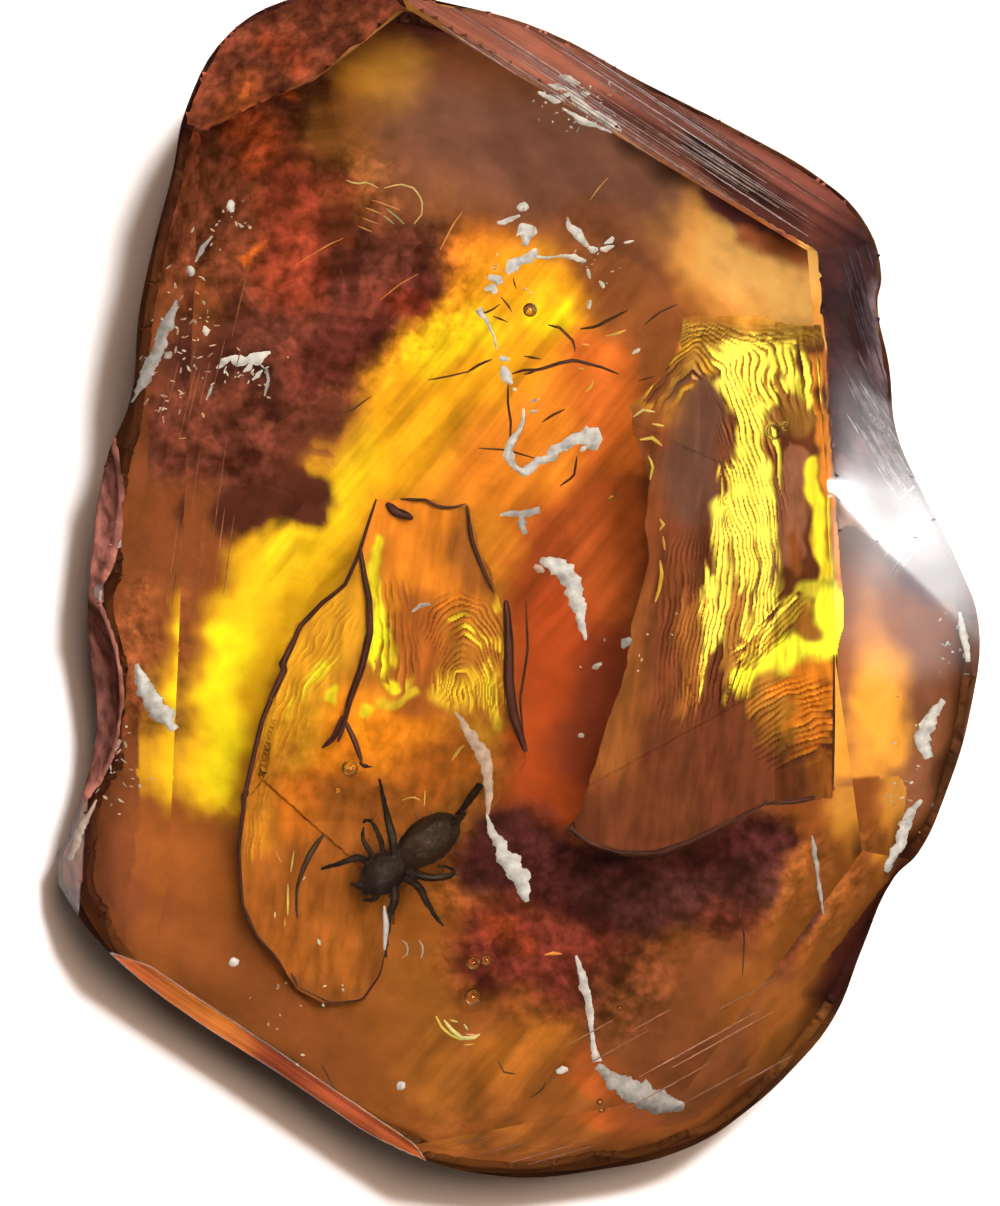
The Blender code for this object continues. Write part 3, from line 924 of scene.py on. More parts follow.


# Thin skins on the matte rim and under the ground bevels: half width, softness, colour as seen, points. Under
# the right bevels the colours are painted shade and a painted hazy sheen.

MATTE_HEIGHT = 0.012
MATTE_BASE = (0.26, 0.075, 0.028)
MATTE_STROKES = [
    (60, 20, (0.042, 0.017, 0.013), [(90, 380), (100, 560), (80, 780)]),
    (40, 25, (0.40, 0.15, 0.03), [(180, 950), (240, 1000)]),
    (40, 25, (0.20, 0.05, 0.025), [(300, 1040), (380, 1080)]),
]
LIGHT_ON_RIM = 0.45
CRUST_FLATS = ("upper_right_bevel", "left_bevel")
CRUST_DEPTH = 0.1
CRUST_GAP = 0.2
CRUST_LEFT = 7.0
CRUST_END = 1.4
CRUST_BASE = (0.13, 0.028, 0.012)
SLOPE_STROKES = [
    (60, 30, (0.20, 0.045, 0.018), [(190, 170), (250, 60), (330, 20)]),
    (20, 14, (0.34, 0.075, 0.018), [(228, 118), (250, 105)]),
    (14, 10, (0.30, 0.05, 0.016), [(270, 40), (300, 60)]),
]
CRUST_AND_SHADE_STROKES = [
    (60, 30, (0.32, 0.10, 0.055), [(400, 20), (560, 70)]),
    (40, 25, (0.20, 0.055, 0.034), [(640, 100), (800, 200)]),
    (14, 7, (0.010, 0.005, 0.006), [(700, 150), (722, 176), (748, 196), (770, 210)]),
    (16, 12, (0.07, 0.018, 0.012), [(740, 205), (790, 236), (830, 262)]),
    # painted shade: the dark that the right bevel shows
    (45, 20, (0.035, 0.01, 0.008), [(860, 250), (865, 480)]),
    # painted sheen: the hazy grey-violet sheen on the right bevels
    (30, 25, (0.16, 0.09, 0.08), [(860, 450), (930, 470), (950, 540)]),
    (20, 20, (0.30, 0.13, 0.05), [(845, 540), (900, 560)]),
    # painted sheen: more of the hazy sheen on the right bevel
    (18, 12, (0.20, 0.13, 0.12), [(880, 310), (888, 430)]),
    (80, 20, (0.24, 0.07, 0.03), [(90, 480), (80, 800)]),
    (14, 8, (0.26, 0.09, 0.06), [(105, 560), (112, 700)]),
]


def on_flats(sheet, names):
    """Which faces of the sheet belong to the flats of those names."""
    ways, middles = face_values(sheet, "normal"), face_values(sheet, "center")
    chosen = np.zeros(len(ways), dtype=bool)
    for name in names:
        x, y, way, slope = FACE_FLATS[name]
        normal = np.array(facing(way, slope))
        gap = (middles - np.array((x, y, float(face_height(x, y))))) @ normal
        chosen |= (ways @ normal > FLAT_LIKENESS) & (np.abs(gap) < FLAT_GAP)
    return chosen


def trim_at_face(sheet, gap):
    """Cuts off what lies nearer to the polished face than that, which leaves an even edge."""
    only(sheet)
    bpy.ops.object.mode_set(mode="EDIT")
    for x, y, way, slope in CROWNS.values():
        bpy.ops.mesh.select_all(action="SELECT")
        bpy.ops.mesh.bisect(
            plane_co=(x, y, float(tilted(x, y)) - gap), plane_no=facing(way, slope), clear_outer=True,
        )
    bpy.ops.object.mode_set(mode="OBJECT")


def on_chip(sheet, name):
    """Which faces of the sheet lie in the chip of that name."""
    x, y, z, radius, stretch = CHIPS[name]
    middles = face_values(sheet, "center")
    from_ball = np.hypot(np.hypot(middles[:, 0] - x, (middles[:, 1] - y) / stretch), middles[:, 2] - z)
    return np.abs(from_ball - radius) < CHIP_GAP


def paint_sheet(sheet, depth, base, strokes, light, material):
    """Moves the sheet that far under the skin, paints it as the view shows it and finishes it."""
    move_points(sheet, points_of(sheet) - normals_of(sheet) * depth)
    ragged_columns, ragged_rows = frayed(*view_of(points_of(sheet)), 20, 7.0)
    colours = painted(ragged_columns, ragged_rows, base, strokes)
    set_tone(sheet, np.clip(colours / np.array(light), *PAINT_RANGE))
    finish_piece(sheet, material, "amber")


# Where the skin is ground and not polished: half width, softness, points of the view
POLISHED_ROUGHNESS = 0.02
GROUND_ROUGHNESS = 0.22
GROUND = [
    (50, 30, [(860, 240), (875, 400), (900, 500), (930, 560)]),
    (60, 36, [(850, 560), (890, 630), (950, 620)]),
]


def view_of(places):
    """The columns and rows of the view at which those places lie."""
    shrink = (LENS_HEIGHT + VIEW_LEVEL - places[:, 2]) / LENS_HEIGHT
    columns = MIDDLE_COLUMN + (places[:, 0] - MIDDLE_X) / PITCH / shrink
    rows = MIDDLE_ROW - (places[:, 1] - MIDDLE_Y) / PITCH / shrink
    return columns, rows


def roughen(stone):
    """Stores how rough the skin is, for the clear material to read."""
    columns, rows = view_of(points_of(stone))
    off_face = np.clip((0.95 - normals_of(stone)[:, 2]) / 0.08, 0, 1)
    share = mask_of(columns, rows, GROUND) * off_face
    store(stone, "ground", POLISHED_ROUGHNESS + (GROUND_ROUGHNESS - POLISHED_ROUGHNESS) * share)


def build_crust(stone):
    """The dark crust under the ground bevels, partly painted shade and sheen under the right bevels, and the
    crackled one under the slope at the upper left.
    """
    crust = copy_of(stone, "bevel_crust")
    ways, middles = face_values(crust, "normal"), face_values(crust, "center")
    chosen = on_flats(crust, CRUST_FLATS)
    # Under the hollow and the right bevel the crust is painted shade, which makes these bevels look dark.
    chosen |= on_chip(crust, "right_hollow") & (ways[:, 0] > 0.5) & (ways[:, 2] > 0.3)
    _, _, way, slope = FACE_FLATS["right_bevel"]
    ragged = np.array([noise.noise((x / 0.9, 7.0, 2.0)) for x, _, _ in middles])
    right_end = (middles[:, 0] > CRUST_LEFT) & (middles[:, 1] > CRUST_END + 0.5 * ragged)
    chosen |= (ways @ np.array(facing(way, slope)) > FLAT_LIKENESS) & right_end
    delete_faces(crust, ~chosen)
    trim_at_face(crust, CRUST_GAP)
    smooth_edge(crust, 10)
    paint_sheet(crust, CRUST_DEPTH, CRUST_BASE, CRUST_AND_SHADE_STROKES, LIGHT_INSIDE, crust_finish("bevel_crust"))
    crust = copy_of(stone, "slope_crust")
    delete_faces(crust, ~on_flats(crust, ["upper_left_slope"]))
    smooth_edge(crust, 10)
    paint_sheet(crust, CRUST_DEPTH, CRUST_BASE, SLOPE_STROKES, LIGHT_INSIDE, weathered_finish())


def build_matte_rim(stone):
    """The rim and the two shells at the left are matte: a skin that hides the mirror image of the sheet."""
    rim = copy_of(stone, "matte_rim")
    matte = on_flats(rim, ["lower_left_rim"])
    for name in ("left_shell_high", "left_shell_low"):
        matte |= on_chip(rim, name)
    delete_faces(rim, ~matte)
    smooth_edge(rim, 6)
    paint_sheet(rim, -MATTE_HEIGHT, MATTE_BASE, MATTE_STROKES, LIGHT_ON_RIM, crust_finish("matte_rim"))


# Fractures: thin sheets with real ripples, seen through the polished face

GUIDE_REACH = 30.0


class Ripples:
    """A family of ripples that run along guide lines, with a mask of where they are.

    guides: lines of the view in their order across the ripples
    count: ripples between two neighbouring guides
    height: of a ripple, in millimetres
    steepness: share of a ripple's width that its steep side takes
    dark: how dark the steep side is painted, as painted shade
    slip: how far each ripple shifts the paint along itself
    """

    def __init__(self, guides, count, height, steepness, dark, slip, where):
        self.guides = guides
        self.count = count
        self.height = height
        self.steepness = steepness
        self.dark = dark
        self.slip = slip
        self.where = where

    def phase(self, columns, rows):
        gaps = []
        for guide in self.guides:
            distance, side = distance_to(columns, rows, guide, endless=True)
            gaps.append(distance * -side)
        gaps = np.array(gaps)
        phase = gaps[0] / GUIDE_REACH
        for number in range(len(gaps) - 1):
            between = (gaps[number] >= 0) & (gaps[number + 1] < 0)
            share = gaps[number] / np.maximum(gaps[number] - gaps[number + 1], 1e-6)
            phase = np.where(between, number + share, phase)
        past = (gaps[-1] >= 0) & (gaps[0] >= 0)
        phase = np.where(past, len(gaps) - 1 + gaps[-1] / GUIDE_REACH, phase)
        return phase * self.count

    def relief_painted_light_and_slip(self, columns, rows, seed):
        """The ripples' height, the paint's factor on them (painted shade on their steep sides and a painted
        glint on their crests) and its shift along them.
        """
        wobble = 1.2 * noise_at(columns, rows, 45.0, seed) + 0.45 * noise_at(columns, rows, 15.0, seed + 1)
        phase = self.phase(columns, rows) + wobble
        step = np.mod(phase, 1.0)
        steep = np.clip((step - 1 + self.steepness) / self.steepness, 0, 1)
        profile = np.where(step < 1 - self.steepness, 1 - step / (1 - self.steepness), steep)
        mask = mask_of(columns, rows, self.where)
        strength = np.clip(0.9 + 1.7 * noise_at(columns, rows, 20.0, seed + 2), 0.0, 1.6)
        line = np.where(step >= 1 - self.steepness, 1.0, 0.0) * mask * np.clip(strength, 0, 1)
        crest_glint = np.clip(1 - np.abs(step - 0.12) / 0.16, 0, 1) * mask * strength
        shade = (1 - (1 - self.dark) * line) * (1 + 0.45 * crest_glint)
        own = np.array([noise.noise((number * 3.7, 0.5, seed)) for number in np.floor(phase)])
        return self.height * profile * mask * strength, shade, own * mask


def build_fracture(name, outline, depths, deeper, base, strokes, ripples, merged, seed):
    """One fracture: a grid cut to its outline, whose paint merges with the back's at some edges."""
    low_column, high_column = min(p[0] for p in outline), max(p[0] for p in outline)
    low_row, high_row = min(p[1] for p in outline), max(p[1] for p in outline)
    across = int(high_column - low_column) + 1
    along = int((high_row - low_row) / 1.6) + 1
    grid_columns, grid_rows = np.meshgrid(
        np.linspace(low_column, high_column, across),
        np.linspace(high_row, low_row, along),
    )
    columns, rows = grid_columns.ravel(), grid_rows.ravel()
    depth = np.interp(columns, *depths) + np.interp(rows, *deeper)
    relief = 0.03 * noise_at(columns, rows, 70.0, seed + 20)
    relief += 0.004 * noise_at(columns, rows, 25.0, seed + 21)
    paint_columns, paint_rows = frayed(columns, rows, 9, seed)
    shade = np.ones(len(columns))
    for number, family in enumerate(ripples):
        ripple, ripple_painted_light, own = family.relief_painted_light_and_slip(columns, rows, seed + 30 + 5 * number)
        relief += ripple
        shade *= ripple_painted_light
        paint_columns = paint_columns + own * family.slip[0]
        paint_rows = paint_rows + own * family.slip[1]
    colours = painted(paint_columns, paint_rows, base, strokes)
    # painted shade on the ripples' steep sides and painted glints on their crests, weaker in red
    colours *= shade[:, None] ** np.array((0.6, 1.0, 1.0))
    back_colours = painted(*frayed(columns, rows, 16, 1.0), BACK_BASE, BACK_STROKES)
    share = mask_of(*frayed(columns, rows, 14, seed + 60), merged)
    colours += (back_colours - colours) * share[:, None]
    places = below_face(columns, rows, depth)
    places[:, 2] += relief * (1 - share)
    sheet = grid_sheet(name, across, along, places)
    set_tone(sheet, before_amber(colours, depth))
    # painted glow: the gold paint also shines, where its green is high
    store(sheet, "glow", GOLD_PAINTED_GLOW * np.clip((colours[:, 1] - 0.45) / 0.5, 0, 1))
    cut_to_outline(sheet, columns, rows, outline, seed)
    finish_piece(sheet, fracture_finish(), "amber")


def cut_to_outline(sheet, columns, rows, outline, seed):
    """Cuts away the faces that lie outside the outline, with a ragged edge."""
    ragged_columns, ragged_rows = frayed(columns, rows, 5, seed + 50)
    inside = np.zeros(len(columns), dtype=bool)
    for (x0, y0), (x1, y1) in zip(outline, outline[1:] + outline[:1]):
        crosses = (y0 > ragged_rows) != (y1 > ragged_rows)
        at = x0 + (ragged_rows - y0) * (x1 - x0) / ((y1 - y0) or 1e-9)
        inside ^= crosses & (ragged_columns < at)
    outside = [not any(inside[index] for index in polygon.vertices) for polygon in sheet.data.polygons]
    delete_faces(sheet, outside)


# Depth below the face at some columns of the view: the fracture rises where the bevel starts
RIGHT_DEPTHS = ((575, 600, 700, 775, 832), (1.3, 1.9, 2.0, 1.7, 0.35))
RIGHT_DEEPER = ((300, 860), (0, 0))
RIGHT_OUTLINE = [
    (684, 316), (740, 317), (778, 322), (815, 325), (826, 400), (832, 480), (838, 560), (842, 620),
    (834, 660), (834, 795), (800, 800), (765, 803), (720, 826), (690, 840), (640, 853), (600, 850),
    (575, 830), (590, 780), (615, 700), (632, 640), (650, 560), (648, 480), (636, 430), (630, 405),
    (660, 380), (682, 350),
]
# Painted reflection: the gold that the fracture's ripples reflect, laid on as colour, and the strength of its
# painted glow
GOLD_REFLECTION = (1.6, 1.25, 0.12)
GOLD_PAINTED_GLOW = 0.55
RIGHT_MERGED = [
    (10, 8, [(670, 312), (740, 313), (822, 320)]),
]
RIGHT_BASE = (0.17, 0.04, 0.017)
# Colours as seen: the gold and pale yellow strokes are painted reflections of the ripples, the browns are the
# fracture's own colour
RIGHT_STROKES = [
    (30, 20, (0.40, 0.17, 0.03), [(660, 330), (700, 350)]),
    (20, 10, (0.58, 0.32, 0.04), [(690, 325), (740, 325), (800, 330)]),
    (14, 8, (0.50, 0.24, 0.03), [(700, 350), (735, 352)]),
    (9, 5, (0.80, 0.42, 0.03), [(632, 412), (655, 395), (680, 375), (700, 365)]),
    (12, 8, (0.48, 0.18, 0.03), [(640, 425), (680, 405), (700, 395)]),
    (34, 20, (0.25, 0.058, 0.018), [(632, 430), (640, 580)]),
    (34, 20, (0.13, 0.025, 0.010), [(625, 680), (600, 830)]),
    (26, 14, (0.15, 0.06, 0.036), [(700, 400), (690, 500)]),
    (20, 12, (0.30, 0.09, 0.02), [(640, 600), (625, 700), (610, 780)]),
    (16, 10, (0.20, 0.05, 0.018), [(668, 560), (660, 700)]),
    (22, 6, GOLD_REFLECTION, [(750, 355), (748, 385)]),
    (10, 5, GOLD_REFLECTION, [(725, 378), (740, 385)]),
    (9, 4, GOLD_REFLECTION, [(785, 345), (795, 385)]),
    (9, 4, (0.90, 0.75, 0.05), [(805, 395), (812, 405)]),
    (13, 5, GOLD_REFLECTION, [(758, 395), (752, 425), (758, 455)]),
    (16, 6, (0.50, 0.22, 0.04), [(785, 405), (800, 415)]),
    (18, 6, GOLD_REFLECTION, [(757, 450), (760, 500), (764, 560)]),
    (16, 6, GOLD_REFLECTION, [(744, 480), (742, 540), (748, 570)]),
    (14, 6, GOLD_REFLECTION, [(728, 505), (732, 560)]),
    (14, 6, (0.60, 0.25, 0.04), [(735, 580), (735, 650)]),
    (10, 5, GOLD_REFLECTION, [(712, 575), (712, 630), (704, 660)]),
    (12, 5, GOLD_REFLECTION, [(768, 560), (768, 610), (755, 630)]),
    (12, 8, (0.45, 0.16, 0.03), [(692, 600), (690, 700)]),
    (14, 3, (0.50, 0.19, 0.09), [(794, 455), (794, 550)]),
    (6, 4, (0.42, 0.12, 0.03), [(796, 540), (798, 570)]),
    (5, 3, (1.3, 0.42, 0.05), [(826, 345), (820, 420), (826, 480), (834, 560), (839, 600)]),
    (6, 3, (1.5, 1.05, 0.04), [(811, 458), (813, 490), (820, 520), (824, 600)]),
    (8, 4, (0.95, 0.75, 0.04), [(800, 590), (830, 590)]),
    (20, 5, (1.6, 1.40, 0.05), [(832, 610), (826, 640), (800, 655), (770, 668), (750, 680)]),
    (10, 5, (0.80, 0.50, 0.04), [(745, 655), (780, 625), (800, 605)]),
    (10, 5, (0.55, 0.20, 0.03), [(800, 620), (812, 632)]),
    (24, 6, (1.35, 0.40, 0.03), [(816, 680), (816, 735)]),
    (20, 10, (0.56, 0.17, 0.02), [(816, 750), (812, 785)]),
    (26, 12, (0.62, 0.26, 0.03), [(770, 695), (780, 740)]),
    (40, 20, (0.17, 0.042, 0.016), [(620, 820), (700, 800), (780, 775)]),
    (30, 20, (0.16, 0.04, 0.016), [(680, 740), (730, 720)]),
]
RIGHT_RIPPLES = [
    Ripples(
        [
            [(636, 420), (664, 372), (694, 352), (716, 372), (722, 400), (718, 440)],
            [(626, 410), (656, 356), (700, 334), (738, 360), (744, 400), (738, 440)],
            [(620, 400), (650, 340), (706, 318), (768, 350), (772, 392), (770, 440)],
            [(610, 390), (640, 326), (710, 300), (800, 330), (806, 390), (806, 440)],
        ],
        4, 0.02, 0.34, 0.25, (30, 30),
        [(30, 10, [(660, 380), (700, 345), (750, 350), (780, 380)]), (18, 8, [(790, 345), (806, 400)])],
    ),
    Ripples(
        [
            [(712, 520), (702, 560), (700, 600), (694, 650), (684, 690), (676, 740)],
            [(722, 500), (724, 540), (722, 580), (716, 620), (706, 665), (696, 720)],
            [(716, 450), (728, 500), (741, 540), (744, 580), (738, 630), (728, 690)],
            [(724, 430), (742, 475), (756, 520), (760, 570), (756, 620), (742, 660)],
            [(736, 400), (754, 450), (768, 500), (774, 560), (772, 620), (760, 660)],
            [(748, 380), (770, 430), (782, 500), (788, 560), (790, 620), (784, 660)],
        ],
        4, 0.02, 0.30, 0.16, (-14, 60),
        [
            (34, 8, [(752, 400), (752, 500), (738, 560), (728, 620), (715, 680)]),
            (14, 6, [(766, 560), (760, 640)]),
        ],
    ),
    Ripples(
        [
            [(735, 690), (770, 672), (800, 660), (845, 656)],
            [(738, 712), (775, 702), (800, 698), (845, 684)],
            [(742, 738), (780, 736), (805, 730), (845, 712)],
            [(746, 770), (785, 772), (810, 762), (845, 746)],
        ],
        5, 0.02, 0.38, 0.30, (40, -8),
        [(28, 8, [(775, 706), (820, 706)]), (24, 10, [(780, 745), (825, 730)])],
    ),
    Ripples(
        [
            [(730, 650), (760, 622), (800, 585)],
            [(738, 690), (775, 655), (815, 615)],
        ],
        6, 0.02, 0.34, 0.25, (24, -20),
        [(16, 6, [(748, 655), (790, 606)])],
    ),
    Ripples(
        [
            [(676, 312), (740, 312), (825, 318)],
            [(684, 345), (745, 342), (825, 345)],
        ],
        6, 0.018, 0.36, 0.35, (50, 4),
        [(14, 8, [(700, 330), (800, 330)])],
    ),
    Ripples(
        [
            [(690, 560), (682, 620), (672, 700)],
            [(712, 560), (706, 620), (694, 720)],
        ],
        6, 0.014, 0.4, 0.45, (-8, 60),
        [(24, 10, [(690, 560), (680, 700)])],
    ),
]

# The left fracture drops under the spider
LEFT_DEPTHS = ((240, 526), (1.65, 1.65))
LEFT_DEEPER = ((680, 700, 720, 740, 760, 780, 800, 820, 1000), (0, 0.04, 0.2, 0.5, 0.85, 1.2, 1.5, 1.68, 1.9))
LEFT_OUTLINE = [
    (377, 499), (426, 500), (450, 506), (466, 505), (482, 555), (493, 590), (507, 620), (508, 700),
    (526, 752), (500, 800), (440, 860), (400, 900), (388, 940), (380, 975), (362, 1000), (330, 1003),
    (296, 986), (276, 957), (256, 936), (242, 905), (238, 850), (246, 790), (262, 722), (285, 662),
    (300, 626), (322, 603), (345, 584), (362, 545),
]
LEFT_BASE = (0.52, 0.18, 0.02)
LEFT_MERGED = [
    (30, 16, [(526, 745), (500, 800), (440, 860), (400, 900), (388, 950)]),
    (16, 12, [(385, 970), (362, 1000), (330, 1006), (290, 990)]),
]
# Colours as seen: the two strokes after the first are painted light, lifted to make up for the shade on the
# fracture's slope, and the pale yellow specks are painted glints
LEFT_STROKES = [
    (90, 30, (0.42, 0.125, 0.018), [(360, 800), (310, 930)]),
    (38, 26, (1.6, 0.48, 0.02), [(330, 728), (400, 732)]),
    (24, 20, (0.90, 0.25, 0.02), [(290, 780), (296, 810)]),
    (50, 25, (0.92, 0.27, 0.02), [(400, 520), (440, 560)]),
    (24, 12, (0.40, 0.12, 0.02), [(466, 540), (478, 575)]),
    (40, 20, (0.95, 0.42, 0.02), [(345, 600), (300, 680), (280, 730)]),
    (16, 12, (0.70, 0.26, 0.02), [(268, 760), (256, 840)]),
    (26, 14, (0.46, 0.12, 0.018), [(420, 620), (420, 700)]),
    (24, 16, (0.62, 0.17, 0.018), [(420, 775), (460, 755), (500, 770)]),
    (5, 3, (0.97, 0.75, 0.02), [(378, 545), (378, 580), (381, 605)]),
    (10, 4, (0.98, 0.84, 0.02), [(381, 618), (376, 640), (373, 656)]),
    (5, 3, (0.95, 0.65, 0.02), [(388, 630), (391, 650)]),
    (7, 3, (0.97, 0.80, 0.02), [(388, 672), (392, 684)]),
    (6, 3, (0.97, 0.80, 0.02), [(366, 708), (364, 714)]),
    (6, 4, (0.96, 0.76, 0.02), [(322, 672), (308, 690)]),
    (6, 3, (0.97, 0.78, 0.02), [(338, 690), (336, 698)]),
    (4, 3, (0.90, 0.60, 0.02), [(300, 700), (316, 684)]),
    (18, 8, (1.0, 0.58, 0.03), [(450, 690), (490, 690)]),
    (5, 3, (0.95, 0.68, 0.03), [(492, 670), (495, 700), (497, 730)]),
    (4, 3, (0.95, 0.55, 0.03), [(498, 598), (501, 625), (499, 648)]),
    (6, 4, (0.90, 0.62, 0.03), [(462, 626), (475, 634)]),
    (5, 3, (0.92, 0.60, 0.03), [(378, 700), (400, 704), (415, 690)]),
    (10, 8, (0.70, 0.30, 0.02), [(470, 730), (500, 745)]),
]
LEFT_RIPPLES = [
    Ripples(
        [
            [(452, 720), (450, 690), (456, 672), (466, 670), (474, 684), (477, 720)],
            [(438, 720), (436, 670), (446, 642), (463, 634), (480, 644), (490, 672), (492, 720)],
            [(420, 720), (422, 650), (436, 612), (460, 594), (486, 604), (502, 640), (506, 720)],
        ],
        6, 0.02, 0.34, 0.30, (20, 30),
        [(32, 8, [(455, 625), (480, 640)]), (26, 10, [(458, 680), (490, 690)])],
    ),
    Ripples(
        [
            [(345, 580), (300, 626), (280, 665), (255, 722), (238, 800), (236, 870)],
            [(372, 590), (335, 640), (310, 680), (285, 740), (265, 800), (258, 880)],
            [(398, 600), (370, 660), (345, 700), (315, 760), (290, 820), (280, 890)],
        ],
        6, 0.012, 0.34, 0.72, (-30, 40),
        [(20, 14, [(335, 620), (300, 680), (276, 740)]), (10, 8, [(262, 760), (252, 850)])],
    ),
    Ripples(
        [
            [(378, 560), (380, 620), (386, 680), (396, 730)],
            [(402, 560), (410, 620), (414, 680), (404, 730)],
            [(425, 560), (432, 620), (436, 680), (425, 740)],
        ],
        4, 0.016, 0.34, 0.62, (0, 40),
        [(20, 10, [(392, 600), (400, 670)])],
    ),
]


def build_fractures():
    build_fracture(
        "fracture_right", RIGHT_OUTLINE, RIGHT_DEPTHS, RIGHT_DEEPER, RIGHT_BASE, RIGHT_STROKES, RIGHT_RIPPLES,
        RIGHT_MERGED, 11.0,
    )
    build_fracture(
        "fracture_left", LEFT_OUTLINE, LEFT_DEPTHS, LEFT_DEEPER, LEFT_BASE, LEFT_STROKES, LEFT_RIPPLES,
        LEFT_MERGED, 12.0,
    )


# Chalky fills and grinding marks: flat strips with ragged edges

CHALK = (0.95, 0.84, 0.66)
GREY_CHALK = (0.58, 0.50, 0.40)
WARM_CHALK = (0.75, 0.50, 0.32)

